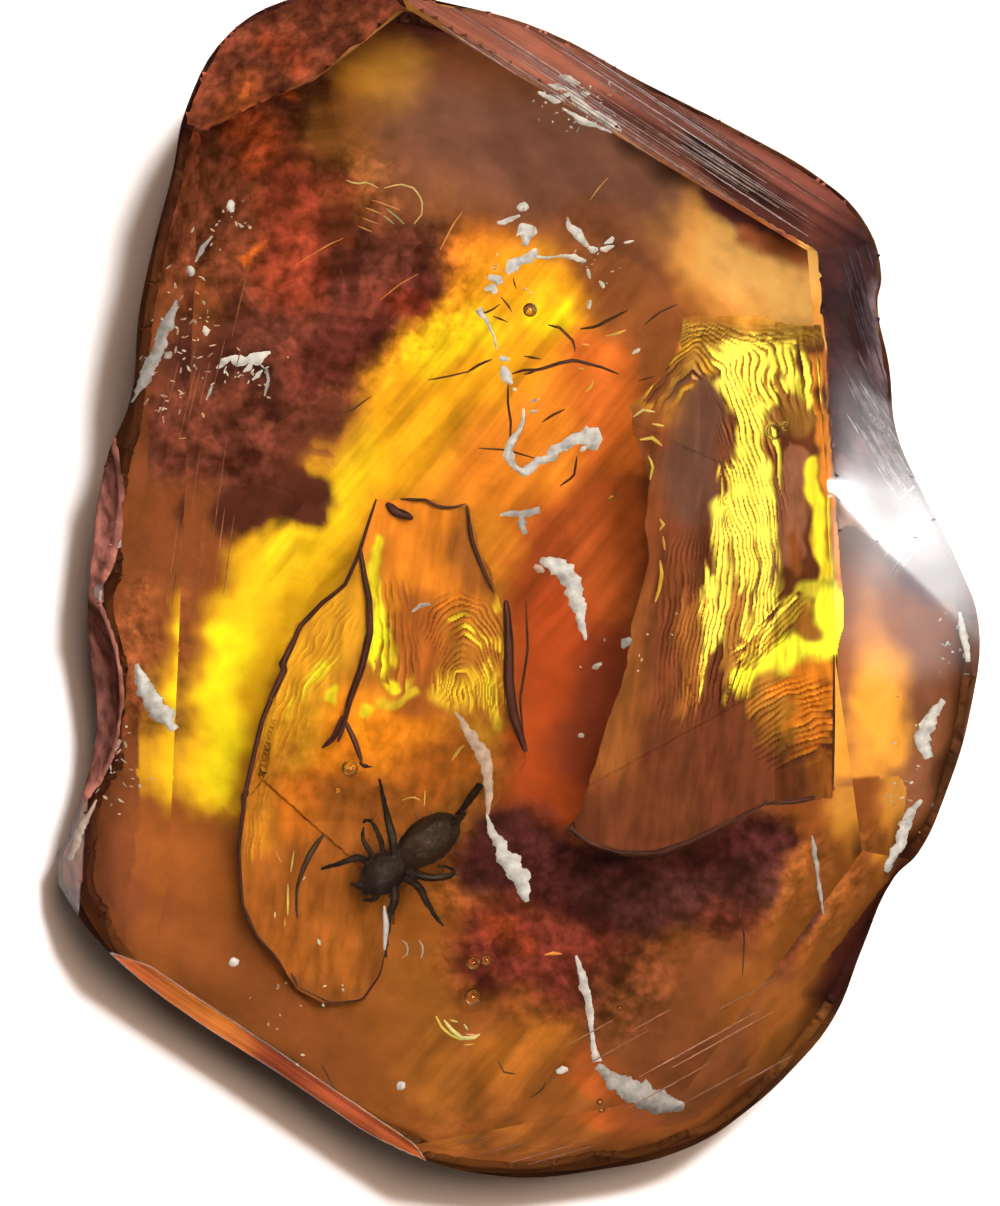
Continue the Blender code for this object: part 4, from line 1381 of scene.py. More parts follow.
# Widths at even steps along the points, colour as seen, points of the view
FILLS = [
    ((3, 7, 7, 3), CHALK, [(518, 210), (523, 206), (527, 210)]),
    ((2, 4, 3, 2), CHALK, [(497, 223), (508, 220), (520, 216)]),
    ((2, 10, 12, 6, 3), CHALK, [(520, 224), (526, 232), (526, 246)]),
    ((3, 7, 6, 9, 6), CHALK, [(537, 249), (529, 258), (520, 262), (506, 272)]),
    ((3, 7, 3), CHALK, [(488, 277), (500, 280), (496, 284)]),
    ((2, 4, 5, 3), CHALK, [(484, 290), (492, 287), (494, 294)]),
    ((2, 2, 1, 3, 4, 2), CHALK, [(536, 257), (548, 258), (560, 256), (574, 257), (586, 261)]),
    ((1, 4, 7, 5, 3), CHALK, [(567, 217), (569, 227), (578, 234), (588, 246)]),
    ((3, 5, 2), CHALK, [(588, 247), (594, 250), (598, 249)]),
    ((2, 4, 3, 1), CHALK, [(600, 249), (608, 247), (614, 246)]),
    ((2, 4, 2), CHALK, [(604, 244), (610, 241), (613, 237)]),
    ((1, 2, 1), CHALK, [(624, 243), (634, 241)]),
    ((2, 3, 1), CHALK, [(587, 269), (590, 279)]),
    ((1, 3, 2), CHALK, [(599, 281), (604, 288)]),
    ((1, 3, 2), CHALK, [(590, 300), (588, 309)]),
    ((5, 4, 2, 2, 2, 1), CHALK, [(478, 309), (489, 325), (495, 338), (496, 350)]),
    ((3, 4, 2), CHALK, [(500, 357), (509, 360)]),
    ((2, 7, 6, 2), CHALK, [(502, 366), (506, 376), (512, 384)]),
    ((1, 3, 1), CHALK, [(513, 388), (516, 391)]),
    ((1, 2, 1), CHALK, [(530, 402), (539, 399)]),
    ((1, 2, 1), CHALK, [(530, 413), (538, 410)]),
    ((1, 3, 3, 5, 6, 4), CHALK, [(523, 408), (523, 422), (518, 432), (511, 443), (509, 456), (513, 466)]),
    ((3, 5, 6, 5, 6, 8, 7, 6, 10, 16, 9), CHALK,
     [(513, 466), (526, 473), (536, 463), (548, 458), (562, 447), (573, 440), (586, 438), (600, 432)]),
    ((1, 4, 2), CHALK, [(580, 452), (586, 447)]),
    ((1, 3, 1), CHALK, [(632, 354), (640, 349)]),
    ((2, 5, 3, 6, 4), GREY_CHALK, [(500, 516), (515, 513), (528, 513), (540, 511)]),
    ((3, 6, 3), GREY_CHALK, [(520, 514), (522, 524), (526, 534)]),
    ((4, 12, 14, 11, 6, 2), CHALK, [(540, 560), (556, 566), (570, 578), (576, 600), (582, 622), (586, 640)]),
    ((3, 5, 2), WARM_CHALK, [(534, 566), (544, 572)]),
    ((2, 5, 2), GREY_CHALK, [(592, 668), (602, 664)]),
    ((2, 6, 3), GREY_CHALK, [(622, 648), (630, 638)]),
    ((2, 4, 2), GREY_CHALK, [(578, 736), (584, 736)]),
    ((1, 5, 9, 13, 14, 9, 3), CHALK, [(486, 814), (494, 836), (506, 856), (520, 876), (527, 902)]),
    ((1, 7, 10, 6, 3), WARM_CHALK, [(455, 712), (470, 735), (484, 752), (490, 790), (487, 815)]),
    ((2, 5, 6, 4, 5, 3, 4, 6), CHALK, [(576, 956), (582, 975), (588, 1000), (592, 1030), (596, 1062)]),
    ((5, 9, 14, 18, 17, 12, 5), GREY_CHALK,
     [(597, 1066), (612, 1080), (632, 1092), (656, 1100), (684, 1108)]),
    ((3, 8, 12, 14, 12, 6), CHALK, [(136, 664), (142, 684), (152, 702), (166, 716), (174, 730)]),
    ((1, 3, 2), GREY_CHALK, [(412, 612), (420, 606), (430, 604)]),
    ((2, 9, 10, 9, 3), WARM_CHALK, [(254, 1046), (266, 1058), (280, 1070), (292, 1080)]),
    ((1, 2, 3, 2, 1), CHALK, [(402, 1082), (402, 1090)]),
    ((2, 10, 3), CHALK, [(232, 958), (236, 966)]),
    ((2, 8, 2), CHALK, [(398, 1083), (404, 1089)]),
    ((2, 5, 2), CHALK, [(556, 1072), (568, 1070)]),
    ((1, 3, 3, 2, 3, 2, 1), GREY_CHALK, [(812, 836), (816, 860), (820, 890), (824, 915)]),
    ((3, 9, 12, 5), CHALK, [(944, 700), (930, 720), (922, 740), (930, 758)]),
    ((2, 5, 8, 6, 9, 6, 3), CHALK, [(922, 800), (912, 812), (904, 830), (897, 850), (886, 872)]),
    ((1, 3, 4, 3, 2), WARM_CHALK, [(884, 876), (872, 910), (866, 940)]),
    ((2, 5, 3), CHALK, [(960, 612), (966, 640), (968, 662)]),
    ((1, 2, 1), CHALK, [(900, 500), (915, 486)]),
    ((2, 6, 3, 7, 4, 6, 2), CHALK, [(538, 92), (556, 100), (570, 94), (584, 106), (600, 116), (622, 130)]),
    ((1, 4, 2, 5, 2), CHALK, [(548, 84), (566, 88), (580, 96), (590, 92)]),
    ((1, 3, 5, 3, 1), CHALK, [(562, 108), (580, 120), (596, 126), (612, 132)]),
    ((2, 4, 2), CHALK, [(560, 74), (580, 84)]),
    ((2, 5, 9, 8, 9, 7, 9, 4, 2), GREY_CHALK,
     [(176, 300), (168, 322), (160, 345), (152, 362), (140, 385), (130, 402)]),
    ((1, 3, 4, 3), GREY_CHALK, [(133, 400), (120, 425), (108, 455), (102, 480)]),
    ((1, 4, 1), GREY_CHALK, [(212, 236), (202, 248), (195, 262)]),
    ((2, 6, 2), CHALK, [(188, 266), (191, 276)]),
    ((2, 7, 3), CHALK, [(230, 200), (233, 212)]),
    ((1, 5, 1), CHALK, [(204, 326), (206, 336)]),
    ((1, 6, 2), GREY_CHALK, [(164, 358), (171, 352)]),
    ((1, 6, 3, 8, 4, 9, 5, 2), CHALK, [(216, 368), (230, 358), (243, 362), (256, 358), (270, 352)]),
    ((1, 4, 3, 1), CHALK, [(243, 372), (250, 366), (246, 360)]),
    ((1, 3, 1), CHALK, [(252, 380), (262, 370)]),
    ((1, 2, 2, 1), GREY_CHALK, [(264, 396), (268, 380), (266, 368)]),
    ((1, 2, 1), GREY_CHALK, [(206, 400), (212, 386)]),
    ((2, 6, 4, 7, 3), GREY_CHALK, [(112, 482), (106, 500), (110, 522), (118, 548)]),
    ((1, 3, 5, 3, 1), WARM_CHALK, [(100, 590), (98, 620), (104, 660), (98, 700)]),
    ((2, 7, 8, 4), WARM_CHALK, [(120, 740), (100, 762), (88, 790)]),
    ((1, 4, 6, 3), WARM_CHALK, [(96, 800), (80, 830), (70, 860)]),
]
FILL_SPREAD = 1.45
FILL_DEPTH = 0.05
FILL_THICKNESS = 0.05

# Small chalky flecks: (place, reach, count, length of the longest) in the view
FLECKS = [
    ((190, 330), (34, 70), 46, 7),
    ((160, 380), (26, 50), 22, 8),
    ((240, 375), (34, 20), 24, 5),
    ((230, 220), (30, 24), 16, 6),
    ((575, 105), (42, 24), 40, 7),
    ((510, 270), (30, 30), 14, 5),
    ((590, 262), (26, 22), 10, 4),
    ((110, 780), (32, 50), 34, 7),
    ((265, 1065), (40, 24), 16, 5),
    ((950, 640), (16, 50), 16, 6),
    ((905, 780), (30, 60), 18, 6),
    ((300, 1000), (60, 40), 12, 4),
    ((640, 640), (60, 60), 8, 4),
]

# Grinding marks: flat that they keep to, first line, the step to the next, how many, width, colour as seen
GRINDING = [
    ("upper_right_bevel", (452, -64), (912, 235), (-1.5, 2.3), 44, 1.2, (0.62, 0.45, 0.38)),
    ("upper_right_bevel", (450, -61), (910, 238), (-1.03, 1.6), 62, 0.9, (0.34, 0.17, 0.12)),
    (None, (836, 1032), (590, 1168), (-7, -13), 9, 1.2, (0.46, 0.22, 0.13)),
    (None, (560, 1120), (420, 1160), (14, 8), 7, 1.1, (0.42, 0.20, 0.12)),
    (None, (262, 250), (222, 420), (-9, 5), 9, 0.9, (0.33, 0.13, 0.07)),
    (None, (190, 420), (160, 640), (8, 2), 8, 0.9, (0.30, 0.12, 0.06)),
    # The last four are scratches on the right bevels; their greys also paint the hazy sheen that these bevels
    # show.
    (None, (836, 360), (900, 500), (1.3, -1.2), 40, 2.4, (0.17, 0.11, 0.10)),
    (None, (842, 410), (912, 520), (0.9, -1.6), 40, 2.2, (0.34, 0.26, 0.24)),
    (None, (836, 250), (880, 400), (1.2, -0.6), 26, 1.6, (0.09, 0.055, 0.06)),
    (None, (870, 560), (935, 470), (1.6, 1.8), 16, 1.2, (0.40, 0.26, 0.18)),
]


def run_of(points, step):
    """Evenly spaced places along the line through the points, and the way across it at each."""
    points = np.array(points, dtype=float)
    lengths = np.hypot(*np.diff(points, axis=0).T)
    marks = np.concatenate([[0], np.cumsum(lengths)])
    count = max(3, int(marks[-1] / step) + 1)
    share = np.linspace(0, marks[-1], count)
    columns, rows = np.interp(share, marks, points[:, 0]), np.interp(share, marks, points[:, 1])
    way_x, way_y = np.gradient(columns), np.gradient(rows)
    length = np.maximum(np.hypot(way_x, way_y), 1e-9)
    return columns, rows, -way_y / length, way_x / length


def strip(points, widths, colour, places_of, chance):
    """A flat strip along the points, with ragged edges, as wide as the widths say."""
    columns, rows, across_x, across_y = run_of(points, 1.6)
    share = np.linspace(0, 1, len(columns))
    width = np.interp(share, np.linspace(0, 1, len(widths)), widths)
    seed = chance.uniform(0, 500)
    grids = []
    for side in (-1, 0, 1):
        ragged = 1 + 0.6 * noise_at(columns, rows, 8.0, seed + side)
        ragged += 0.3 * noise_at(columns, rows, 3.0, seed - side)
        drift = noise_at(columns, rows, 17.0, seed + 5)
        reach = side * 0.5 * width * np.clip(ragged, 0.12, 1.7) + 0.2 * width * drift
        grids.append(np.column_stack([columns + across_x * reach, rows + across_y * reach]))
    cells = np.stack(grids, axis=1).reshape(-1, 2)
    piece = grid_sheet("strip", 3, len(columns), places_of(cells))
    set_tone(piece, before_amber(np.tile(colour, (len(cells), 1)), 0.0))
    return piece


def on_skin(skin, depth):
    """Where places of the view lie, that far below the skin."""
    def find(cells):
        places = []
        for column, row in cells:
            place, normal = seen_on(skin, column, row)
            if place is None and places:
                places.append(places[-1])
            else:
                places.append(place - normal * depth)
        return places
    return find


def on_stone(skin, points):
    return all(seen_on(skin, column, row)[0] is not None for column, row in points)


def on_flat(skin, flat, points):
    """Whether the points all lie on the flat of that name, or anywhere on the stone for no name."""
    if not on_stone(skin, points):
        return False
    if flat is None:
        return True
    way = facing(*FACE_FLATS[flat][2:])
    return all(seen_on(skin, column, row)[1].dot(way) > 0.97 for column, row in points)


def thicken(piece, thickness):
    wall = piece.modifiers.new("wall", "SOLIDIFY")
    wall.thickness = thickness
    wall.offset = 0
    return apply_modifiers(piece)


def build_fills(skin):
    chance = random.Random(7)
    strips = []
    for widths, colour, points in FILLS:
        if on_stone(skin, points):
            wide = tuple(FILL_SPREAD * width for width in widths)
            strips.append(strip(points, wide, colour, on_skin(skin, FILL_DEPTH), chance))
    for (middle_x, middle_y), (reach_x, reach_y), count, longest in FLECKS:
        for _ in range(count):
            column = chance.gauss(middle_x, reach_x / 2)
            row = chance.gauss(middle_y, reach_y / 2)
            turn = chance.uniform(0, math.pi)
            length = chance.uniform(1.5, longest)
            end = (column + length * math.cos(turn), row + length * math.sin(turn))
            width = chance.uniform(0.8, 2.6)
            if on_stone(skin, [(column - 4, row), end, (column + 4, row)]):
                colour = chance.choice((CHALK, GREY_CHALK, WARM_CHALK))
                strips.append(strip([(column, row), end], (0.6, width, 0.6), colour,
                                    on_skin(skin, FILL_DEPTH), chance))
    fills = thicken(join(strips, "chalk_fills"), FILL_THICKNESS)
    finish_piece(fills, chalk_finish(), "amber")


def build_grinding_marks(skin):
    chance = random.Random(11)
    strips = []
    for flat, (x0, y0), (x1, y1), (step_x, step_y), count, width, colour in GRINDING:
        for number in range(count):
            start = chance.uniform(0, 0.7)
            end = min(1.0, start + chance.uniform(0.15, 0.5))
            shift = number + chance.uniform(-0.4, 0.4)
            points = []
            for share in np.linspace(start, end, 6):
                points.append((
                    x0 + share * (x1 - x0) + shift * step_x,
                    y0 + share * (y1 - y0) + shift * step_y,
                ))
            if on_flat(skin, flat, points):
                shade = chance.uniform(0.6, 1.25)
                tint = tuple(shade * value for value in colour)
                strips.append(strip(points, (0.4, width, width, 0.4), tint, on_skin(skin, 0.02), chance))
    marks = thicken(join(strips, "grinding_marks"), 0.01)
    finish_piece(marks, chalk_finish(), "amber")


# Dark threads that paint the shade seen along the fracture edges, and the fine cracks: (thickness in the
# view, depth, points)

DARK = (0.07, 0.018, 0.012)
DARK_SPREAD = 1.5
DARK_EDGES = [
    (3.4, 1.5, [(376, 499), (366, 530), (358, 556), (345, 585), (322, 603), (300, 626), (285, 662),
                 (262, 722), (246, 790), (238, 850), (242, 905), (256, 936), (276, 957), (282, 966)]),
    (2.6, 1.5, [(291, 973), (298, 986)]),
    (5.0, 1.45, [(360, 548), (364, 575), (369, 600), (370, 632), (362, 668), (350, 700), (343, 728),
                 (338, 742)]),
    (4.0, 1.45, [(343, 716), (334, 738), (322, 748)]),
    (4.0, 1.45, [(345, 720), (356, 744), (362, 762)]),
    (2.2, 1.5, [(400, 499), (426, 500), (438, 507), (452, 508), (466, 504)]),
    (6.5, 1.5, [(386, 503), (396, 512), (413, 518)]),
    (3.0, 1.5, [(467, 505), (472, 540), (484, 572), (494, 592)]),
    (7.0, 1.5, [(506, 600), (509, 640), (509, 684), (514, 716), (526, 752)]),
    (2.0, 1.5, [(526, 600), (528, 650), (520, 700), (524, 745)]),
    (1.6, 1.55, [(296, 986), (330, 1003), (362, 1000), (380, 975), (386, 950)]),
    (4.4, 1.3, [(571, 828), (590, 843), (620, 853), (655, 854), (690, 842), (725, 825), (765, 804)]),
    (3.4, 0.8, [(765, 804), (800, 801), (828, 794)]),
    (9.0, 1.85, [(566, 830), (574, 826), (582, 838)]),
    (5.0, 1.8, [(764, 796), (768, 806)]),
    (1.8, 0.3, [(834, 655), (834, 720), (833, 790)]),
    (2.2, 0.9, [(580, 329), (596, 327), (608, 320), (628, 310)]),
    (2.0, 0.9, [(548, 325), (560, 328), (566, 334), (574, 342), (575, 352)]),
    (2.4, 0.9, [(512, 374), (524, 370), (538, 370), (560, 363), (574, 360), (590, 364), (602, 367),
                (619, 374)]),
    (1.8, 0.9, [(524, 375), (538, 370)]),
    (2.0, 0.9, [(466, 373), (480, 364), (492, 359)]),
    (1.8, 0.95, [(524, 356), (541, 359)]),
    (1.6, 0.95, [(542, 422), (554, 414), (565, 409)]),
    (1.3, 0.95, [(644, 325), (658, 313), (678, 304)]),
    (1.5, 0.95, [(480, 314), (491, 311), (500, 304)]),
    (1.5, 0.95, [(493, 316), (508, 322)]),
    (1.5, 0.95, [(501, 297), (508, 305), (512, 312)]),
    (1.4, 0.95, [(513, 278), (516, 289)]),
    (1.8, 1.0, [(508, 384), (508, 404), (511, 422), (510, 440)]),
    (1.8, 1.0, [(577, 456), (574, 476), (560, 486)]),
    (1.4, 1.0, [(478, 448), (508, 450), (537, 459)]),
    (1.6, 1.0, [(638, 381), (654, 376)]),
    (1.4, 1.0, [(428, 380), (450, 376), (470, 371)]),
    (1.5, 1.6, [(322, 1065), (332, 1084), (343, 1104)]),
    (1.3, 1.6, [(498, 1061), (504, 1072), (516, 1074)]),
    (1.3, 1.6, [(530, 1098), (542, 1090), (546, 1082)]),
    (1.5, 2.2, [(740, 900), (744, 940), (742, 975)]),
    (1.3, 1.4, [(330, 420), (352, 410), (372, 396)]),
]

# Bright flakes that paint glints, the sparks of light caught in tiny cracks: (thickness in the view, depth,
# colour as seen, points)
GLINT_FLAKES = [
    (3.0, 1.6, (0.97, 0.80, 0.25), [(633, 417), (643, 410), (655, 412)]),
    (4.0, 1.6, (0.95, 0.70, 0.10), [(640, 440), (652, 438), (662, 446)]),
    (3.0, 1.6, (0.95, 0.72, 0.12), [(652, 424), (664, 426)]),
    (3.0, 1.6, (0.95, 0.72, 0.10), [(648, 456), (653, 466), (650, 480)]),
    (3.6, 1.5, (0.95, 0.65, 0.08), [(660, 519), (664, 524), (660, 530)]),
    (4.0, 1.5, (0.92, 0.55, 0.06), [(660, 560), (662, 575), (659, 590), (655, 602)]),
    (3.0, 1.5, (0.80, 0.38, 0.06), [(663, 536), (665, 550)]),
    (1.5, 1.5, (0.85, 0.55, 0.25), [(794, 476), (793, 494)]),
    (2.0, 1.5, (0.95, 0.75, 0.15), [(294, 851), (291, 872)]),
    (2.4, 1.5, (0.95, 0.75, 0.15), [(288, 884), (288, 915)]),
    (2.4, 1.5, (0.98, 0.85, 0.40), [(275, 912), (275, 918)]),
    (2.0, 1.5, (0.90, 0.60, 0.10), [(285, 918), (285, 927)]),
    (1.4, 1.5, (0.85, 0.50, 0.10), [(276, 852), (281, 862)]),
    (4.0, 1.5, (0.98, 0.95, 0.70), [(318, 939), (320, 945)]),
    (2.0, 1.5, (0.95, 0.80, 0.30), [(303, 880), (306, 876)]),
    (3.0, 1.4, (0.97, 0.85, 0.12), [(436, 1016), (442, 1028), (452, 1036), (462, 1040)]),
    (4.5, 1.4, (0.98, 0.92, 0.35), [(444, 1020), (452, 1030), (462, 1038), (474, 1038), (480, 1034)]),
    (2.4, 1.4, (0.95, 0.85, 0.20), [(450, 1020), (458, 1022)]),
    (3.0, 1.4, (0.95, 0.50, 0.30), [(466, 1034), (478, 1036)]),
    (2.2, 1.4, (0.80, 0.90, 0.60), [(464, 1024), (468, 1030)]),
    (1.6, 1.4, (0.75, 0.62, 0.15), [(464, 1045), (474, 1044)]),
    (4.5, 1.5, (0.97, 0.75, 0.05), [(343, 770), (348, 764)]),
    (2.5, 1.5, (0.90, 0.60, 0.05), [(351, 766), (358, 764)]),
    (3.5, 1.55, (0.95, 0.62, 0.08), [(452, 760), (458, 750), (464, 745)]),
    (1.8, 1.55, (0.90, 0.50, 0.08), [(402, 800), (412, 796), (420, 800)]),
    (1.8, 1.55, (0.90, 0.50, 0.08), [(425, 790), (424, 806)]),
    (2.0, 0.9, (0.55, 0.50, 0.40), [(402, 940), (408, 945), (408, 954), (402, 958)]),
    (2.0, 0.9, (0.60, 0.55, 0.42), [(419, 940), (424, 948), (421, 958)]),
    (4.0, 1.5, (0.95, 0.35, 0.08), [(545, 955), (556, 953), (562, 954)]),
    (6.0, 1.6, (0.80, 0.74, 0.66), [(384, 906), (386, 925), (385, 950)]),
    (2.0, 0.8, (0.90, 0.70, 0.30), [(346, 180), (356, 184), (368, 182), (378, 188)]),
    (2.0, 0.8, (0.90, 0.65, 0.25), [(384, 188), (400, 184), (414, 188), (422, 200), (422, 214), (414, 224)]),
    (1.6, 0.8, (0.30, 0.60, 0.25), [(386, 208), (398, 218), (404, 224)]),
    (1.6, 0.8, (0.75, 0.30, 0.15), [(372, 200), (390, 206), (400, 210)]),
    (1.6, 0.8, (0.25, 0.55, 0.40), [(384, 216), (394, 224)]),
    (1.6, 0.8, (0.70, 0.35, 0.12), [(366, 208), (382, 214)]),
    (1.4, 0.8, (0.60, 0.28, 0.12), [(362, 218), (378, 224)]),
    (1.4, 0.8, (0.65, 0.30, 0.12), [(358, 226), (372, 232)]),
    (1.4, 0.8, (0.80, 0.35, 0.10), [(440, 250), (452, 226), (462, 212)]),
    (1.2, 0.8, (0.80, 0.35, 0.10), [(300, 262), (330, 244), (344, 238)]),
    (1.2, 0.8, (0.75, 0.30, 0.10), [(380, 300), (400, 284), (418, 274)]),
    (1.4, 0.8, (0.75, 0.35, 0.10), [(590, 200), (600, 186), (608, 178)]),
    (2.0, 0.9, (0.95, 0.55, 0.15), [(582, 344), (590, 345)]),
    (3.0, 1.0, (0.95, 0.55, 0.10), [(606, 336), (616, 334), (626, 330)]),
    (2.6, 1.0, (0.95, 0.60, 0.10), [(585, 392), (592, 386), (593, 380)]),
    (2.2, 1.0, (0.95, 0.65, 0.15), [(578, 368), (584, 369)]),
]


def thread(points, thickness, depth, colour, lens_shape, spread):
    """A thread or flake inside the stone, thin at both ends."""
    columns, rows, _, _ = run_of(points, 6.0)
    places = below_face(columns, rows, depth)
    curve = bpy.data.curves.new("thread", "CURVE")
    curve.dimensions = "3D"
    curve.bevel_depth = 0.5 * PITCH
    curve.bevel_resolution = 2
    curve.use_fill_caps = True
    spline = curve.splines.new("POLY")
    spline.points.add(len(places) - 1)
    for number, point in enumerate(spline.points):
        share = number / (len(places) - 1)
        body = 0.35 + 0.65 * math.sin(math.pi * share) ** lens_shape
        point.co = (*places[number], 1)
        point.radius = spread * thickness * body
    piece = linked("thread", curve)
    bpy.ops.object.convert(target="MESH")
    set_tone(piece, before_amber(np.tile(colour, (len(piece.data.vertices), 1)), depth))
    return piece


def build_threads():
    cracks = []
    for thickness, depth, points in DARK_EDGES:
        cracks.append(thread(points, thickness, depth, DARK, 0.5, DARK_SPREAD))
    finish_piece(join(cracks, "dark_cracks"), thread_finish(), "amber")
    flakes = []
    for thickness, depth, colour, points in GLINT_FLAKES:
        flakes.append(thread(points, thickness, depth, colour, 0.7, 1.0))
    finish_piece(join(flakes, "bright_flakes"), glint_flake_finish(), "amber")


# Bubbles: (column, row, depth, radius in the view)

BUBBLES = [
    (774, 431, 1.6, 9.0), (786, 426, 1.4, 5.5), (797, 428, 1.4, 5.0), (806, 434, 1.4, 6.0),
    (800, 442, 1.4, 4.0), (350, 768, 1.4, 8.5), (338, 790, 1.4, 3.5), (530, 310, 1.0, 7.0),
    (473, 963, 1.3, 7.0), (486, 960, 1.4, 6.0), (473, 997, 1.3, 9.0), (600, 1102, 0.9, 3.5),
    (612, 498, 0.9, 3.5), (620, 1008, 1.3, 3.0), (790, 745, 1.4, 4.0),
]


def add_bubbles(stone):
    """Hollows in the clear amber: balls whose faces look into the hollow."""
    bubbles = []
    for column, row, depth, radius in BUBBLES:
        bpy.ops.mesh.primitive_uv_sphere_add(
            segments=32, ring_count=20, radius=radius * PITCH, location=below_face(column, row, depth)[0],
        )
        bubble = bpy.context.object
        bubble.scale = (1, 1, 0.8)
        bpy.ops.object.transform_apply(location=True, rotation=False, scale=True)
        bpy.ops.object.mode_set(mode="EDIT")
        bpy.ops.mesh.select_all(action="SELECT")
        bpy.ops.mesh.flip_normals()
        bpy.ops.object.mode_set(mode="OBJECT")
        bubbles.append(bubble)
    return join([stone, *bubbles], "clear_amber")


# What is sealed in: the spider with its hairs, the leg that it shed and the scrap of plant

SEALED = {
    "spider": (0.03, (0.014, 0.009, 0.007), 0.02),
    "lost_leg": (0.022, (0.050, 0.024, 0.012), 0.006),
    "plant_fragment": (0.028, (0.035, 0.014, 0.008), 0.03),
}
SEALED_DEPTH = 2.3
ABDOMEN_PLACE = (-2.12, -6.37, 3.7)
ABDOMEN_REACH = 0.95
ABDOMEN_COLOUR = (0.030, 0.016, 0.009)
HAIR_COUNT = 420
HAIR_LENGTH = (0.08, 0.24)
HAIR_RADIUS = 0.006


def sealed_finish(name):
    recipe = Recipe(name)
    recipe.times(recipe.ramp(recipe.noise(3500, 5.0), 0.3, 0.7, 0.45, 1.7))
    recipe.bump(recipe.noise(9000, 3.0), 0.00003, 0.6)
    return recipe.done(0.45, 0.15)


def fine_copy(name, voxel, lumps):
    """A copy of the solid in millimetres, with an even fine skin and small lumps."""
    source = bpy.data.objects[name]
    made = copy_of(source, name + "_skin")
    made.parent = None
    made.matrix_world = source.matrix_world
    made.scale = [length / MM for length in made.scale]
    made.location = [length / MM for length in made.location]
    only(made)
    bpy.ops.object.transform_apply(location=True, rotation=True, scale=True)
    merge_points(made, 1e-3)
    skin = made.modifiers.new("skin", "REMESH")
    skin.mode = "VOXEL"
    skin.voxel_size = voxel
    polish = made.modifiers.new("polish", "SMOOTH")
    polish.iterations = 2
    apply_modifiers(made)
    places = points_of(made)
    rise = [noise.noise(Vector(place) * 6) + 0.5 * noise.noise(Vector(place) * 17) for place in places]
    move_points(made, places + normals_of(made) * np.array(rise)[:, None] * lumps)
    return made


def build_hairs(spider):
    """Short stiff hairs over the spider, leaning outward, each bent a little its own way."""
    chance = random.Random(5)
    places, ways = points_of(spider), normals_of(spider)
    curve = bpy.data.curves.new("spider_hairs", "CURVE")
    curve.dimensions = "3D"
    curve.bevel_depth = HAIR_RADIUS
    curve.bevel_resolution = 0
    for _ in range(HAIR_COUNT):
        number = chance.randrange(len(places))
        root, way = Vector(places[number]), Vector(ways[number])
        lean = Vector([chance.uniform(-0.7, 0.7) for _ in range(3)])
        length = chance.uniform(*HAIR_LENGTH)
        spline = curve.splines.new("POLY")
        spline.points.add(2)
        for index, point in enumerate(spline.points):
            share = index / 2
            point.co = (*(root + way * length * share + lean * length * share * share), 1)
            point.radius = 1 - 0.75 * share
    hairs = linked("spider_hairs", curve)
    bpy.ops.object.convert(target="MESH")
    _, colour, _ = SEALED["spider"]
    set_tone(hairs, before_amber(np.tile(colour, (len(hairs.data.vertices), 1)), SEALED_DEPTH))
    finish_piece(hairs, sealed_finish("spider_hair"), "spider_skin")


def build_sealed():
    for name, (voxel, colour, lumps) in SEALED.items():
        piece = fine_copy(name, voxel, lumps)
        places = points_of(piece)
        colours = np.tile(colour, (len(places), 1))
        if name == "spider":
            gap = np.linalg.norm(places - np.array(ABDOMEN_PLACE), axis=1)
            share = np.clip((ABDOMEN_REACH - gap) / 0.25, 0, 1)[:, None]
            colours = colours * (1 - share) + np.array(ABDOMEN_COLOUR) * share
            build_hairs(piece)
        set_tone(piece, before_amber(colours, SEALED_DEPTH))
        slot = "dark_plant" if name == "plant_fragment" else "spider_skin"
        finish_piece(piece, sealed_finish(name + "_skin"), slot, name)


# The stage


def build_floor():
    bpy.ops.mesh.primitive_plane_add(size=FLOOR_SIZE, location=(0, 0, -0.00005))
    floor = bpy.context.object
    floor.name = "floor"
    made, nodes, _ = blank_material("white_sheet")
    shader = nodes["Principled BSDF"]
    shader.inputs["Base Color"].default_value = (FLOOR_WHITE, FLOOR_WHITE, FLOOR_WHITE, 1)
    shader.inputs["Roughness"].default_value = 0.9
    floor.data.materials.append(made)


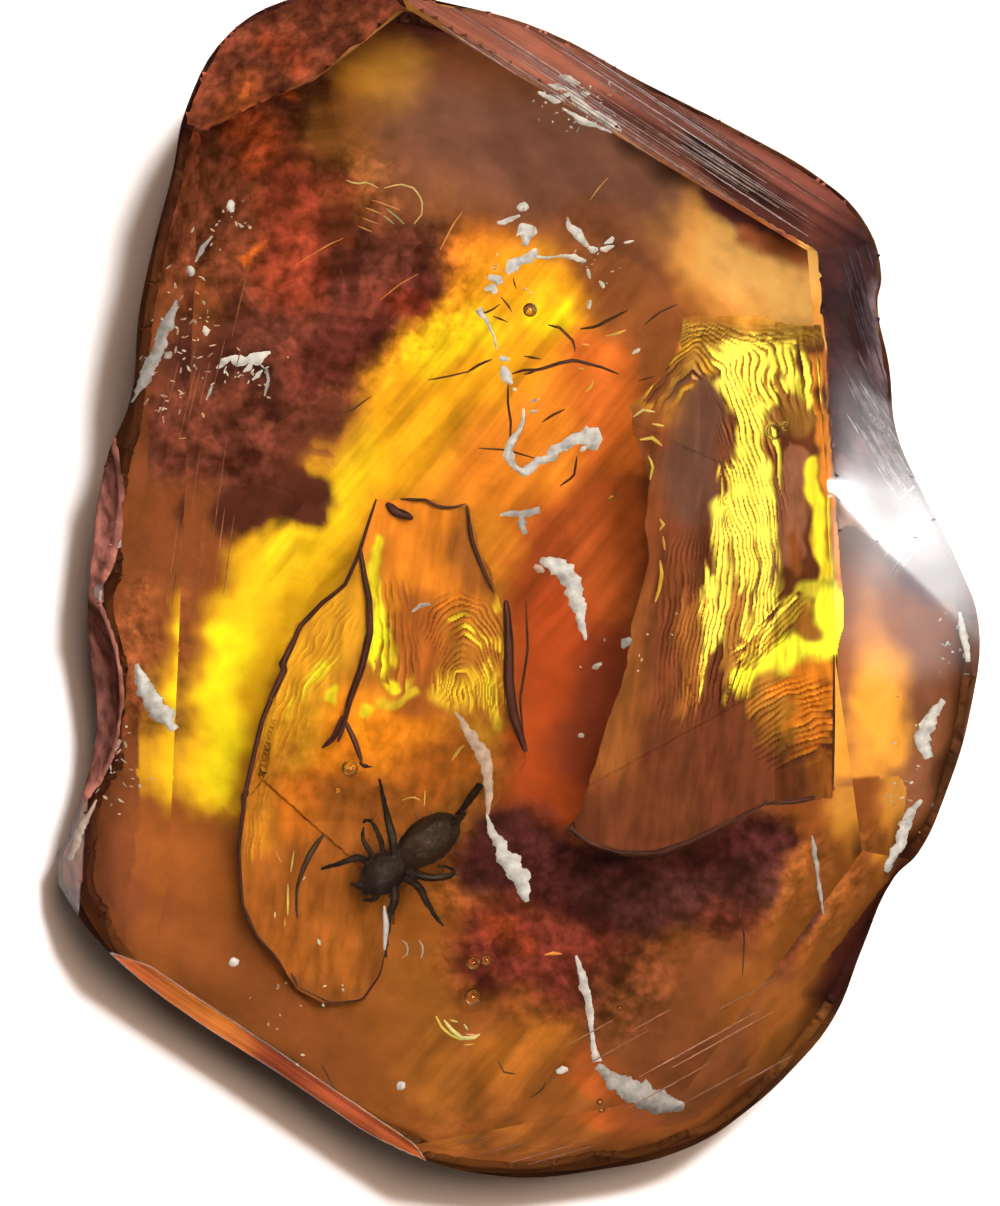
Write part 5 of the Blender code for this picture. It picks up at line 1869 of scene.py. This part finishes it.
def build_sky():
    """A dim warm sky with one soft bright disc."""
    world = bpy.data.worlds.new("studio")
    bpy.context.scene.world = world
    world.use_nodes = True
    nodes, links = world.node_tree.nodes, world.node_tree.links
    background = nodes["Background"]
    coords = nodes.new("ShaderNodeTexCoord")
    toward = nodes.new("ShaderNodeVectorMath")
    toward.operation = "DOT_PRODUCT"
    toward.inputs[1].default_value = facing(KEY_WAY, KEY_LEAN)
    links.new(coords.outputs["Generated"], toward.inputs[0])
    inner, outer = (math.cos(math.radians(edge)) for edge in KEY_EDGE)
    ramp = nodes.new("ShaderNodeMapRange")
    ramp.interpolation_type = "SMOOTHSTEP"
    ramp.inputs["From Min"].default_value = outer
    ramp.inputs["From Max"].default_value = inner
    links.new(toward.outputs["Value"], ramp.inputs["Value"])
    light = nodes.new("ShaderNodeVectorMath")
    light.operation = "MULTIPLY_ADD"
    light.inputs[1].default_value = KEY_LIGHT
    light.inputs[2].default_value = FILL_LIGHT
    links.new(ramp.outputs["Result"], light.inputs[0])
    links.new(light.outputs["Vector"], background.inputs["Color"])


# Two lamps beside the stone, whose mirror images make the bright patch on the right bevels:
# where the patch is, the lamp's way, rise and distance in millimetres, its size and its power
LAMPS = [
    ((10.6, 1.3, 6.6), -2, 18, 25, (3.4, 4.0), 0.0020),
    ((11.6, 1.2, 6.2), -10, 24, 25, (4.0, 2.2), 0.0004),
]


def build_lamps():
    for seen_at, way, rise, reach, size, power in LAMPS:
        direction = facing(way, 90 - rise)
        turn = direction.to_track_quat("Z", "Y").to_euler()
        place = (Vector(seen_at) + direction * reach) * MM
        bpy.ops.object.light_add(type="AREA", location=place, rotation=turn)
        lamp = bpy.context.object
        lamp.name = "lamp"
        lamp.data.shape = "RECTANGLE"
        lamp.data.size, lamp.data.size_y = (length * MM for length in size)
        lamp.data.energy = power
        lamp.visible_camera = False


def build_sun():
    direction = facing(SUN_WAY, SUN_LEAN)
    turn = direction.to_track_quat("Z", "Y").to_euler()
    bpy.ops.object.light_add(type="SUN", location=direction * 0.1, rotation=turn)
    sun = bpy.context.object
    sun.name = "sun"
    sun.data.energy = SUN_LIGHT
    sun.data.angle = math.radians(SUN_WIDTH)


def build_camera():
    camera = bpy.data.cameras.new("camera")
    camera.lens = LENS
    camera.clip_start = 0.001
    camera.clip_end = 5
    holder = linked("camera", camera)
    holder.location = LENS_PLACE * MM
    bpy.context.scene.camera = holder
    bpy.context.scene.view_settings.view_transform = "Standard"


def main():
    block = ground_block()
    stone = polished(block, "clear_amber")
    skin = tree_of(stone)
    build_back(block, skin)
    remove(block)
    build_crust(stone)
    build_matte_rim(stone)
    build_fractures()
    build_fills(skin)
    build_grinding_marks(skin)
    build_threads()
    build_sealed()
    roughen(stone)
    stone = add_bubbles(stone)
    finish_piece(stone, clear_amber_finish(), "amber", "amber_lower", "amber_upper", crease=CREASE)
    build_floor()
    build_sky()
    build_lamps()
    build_sun()
    build_camera()


main()
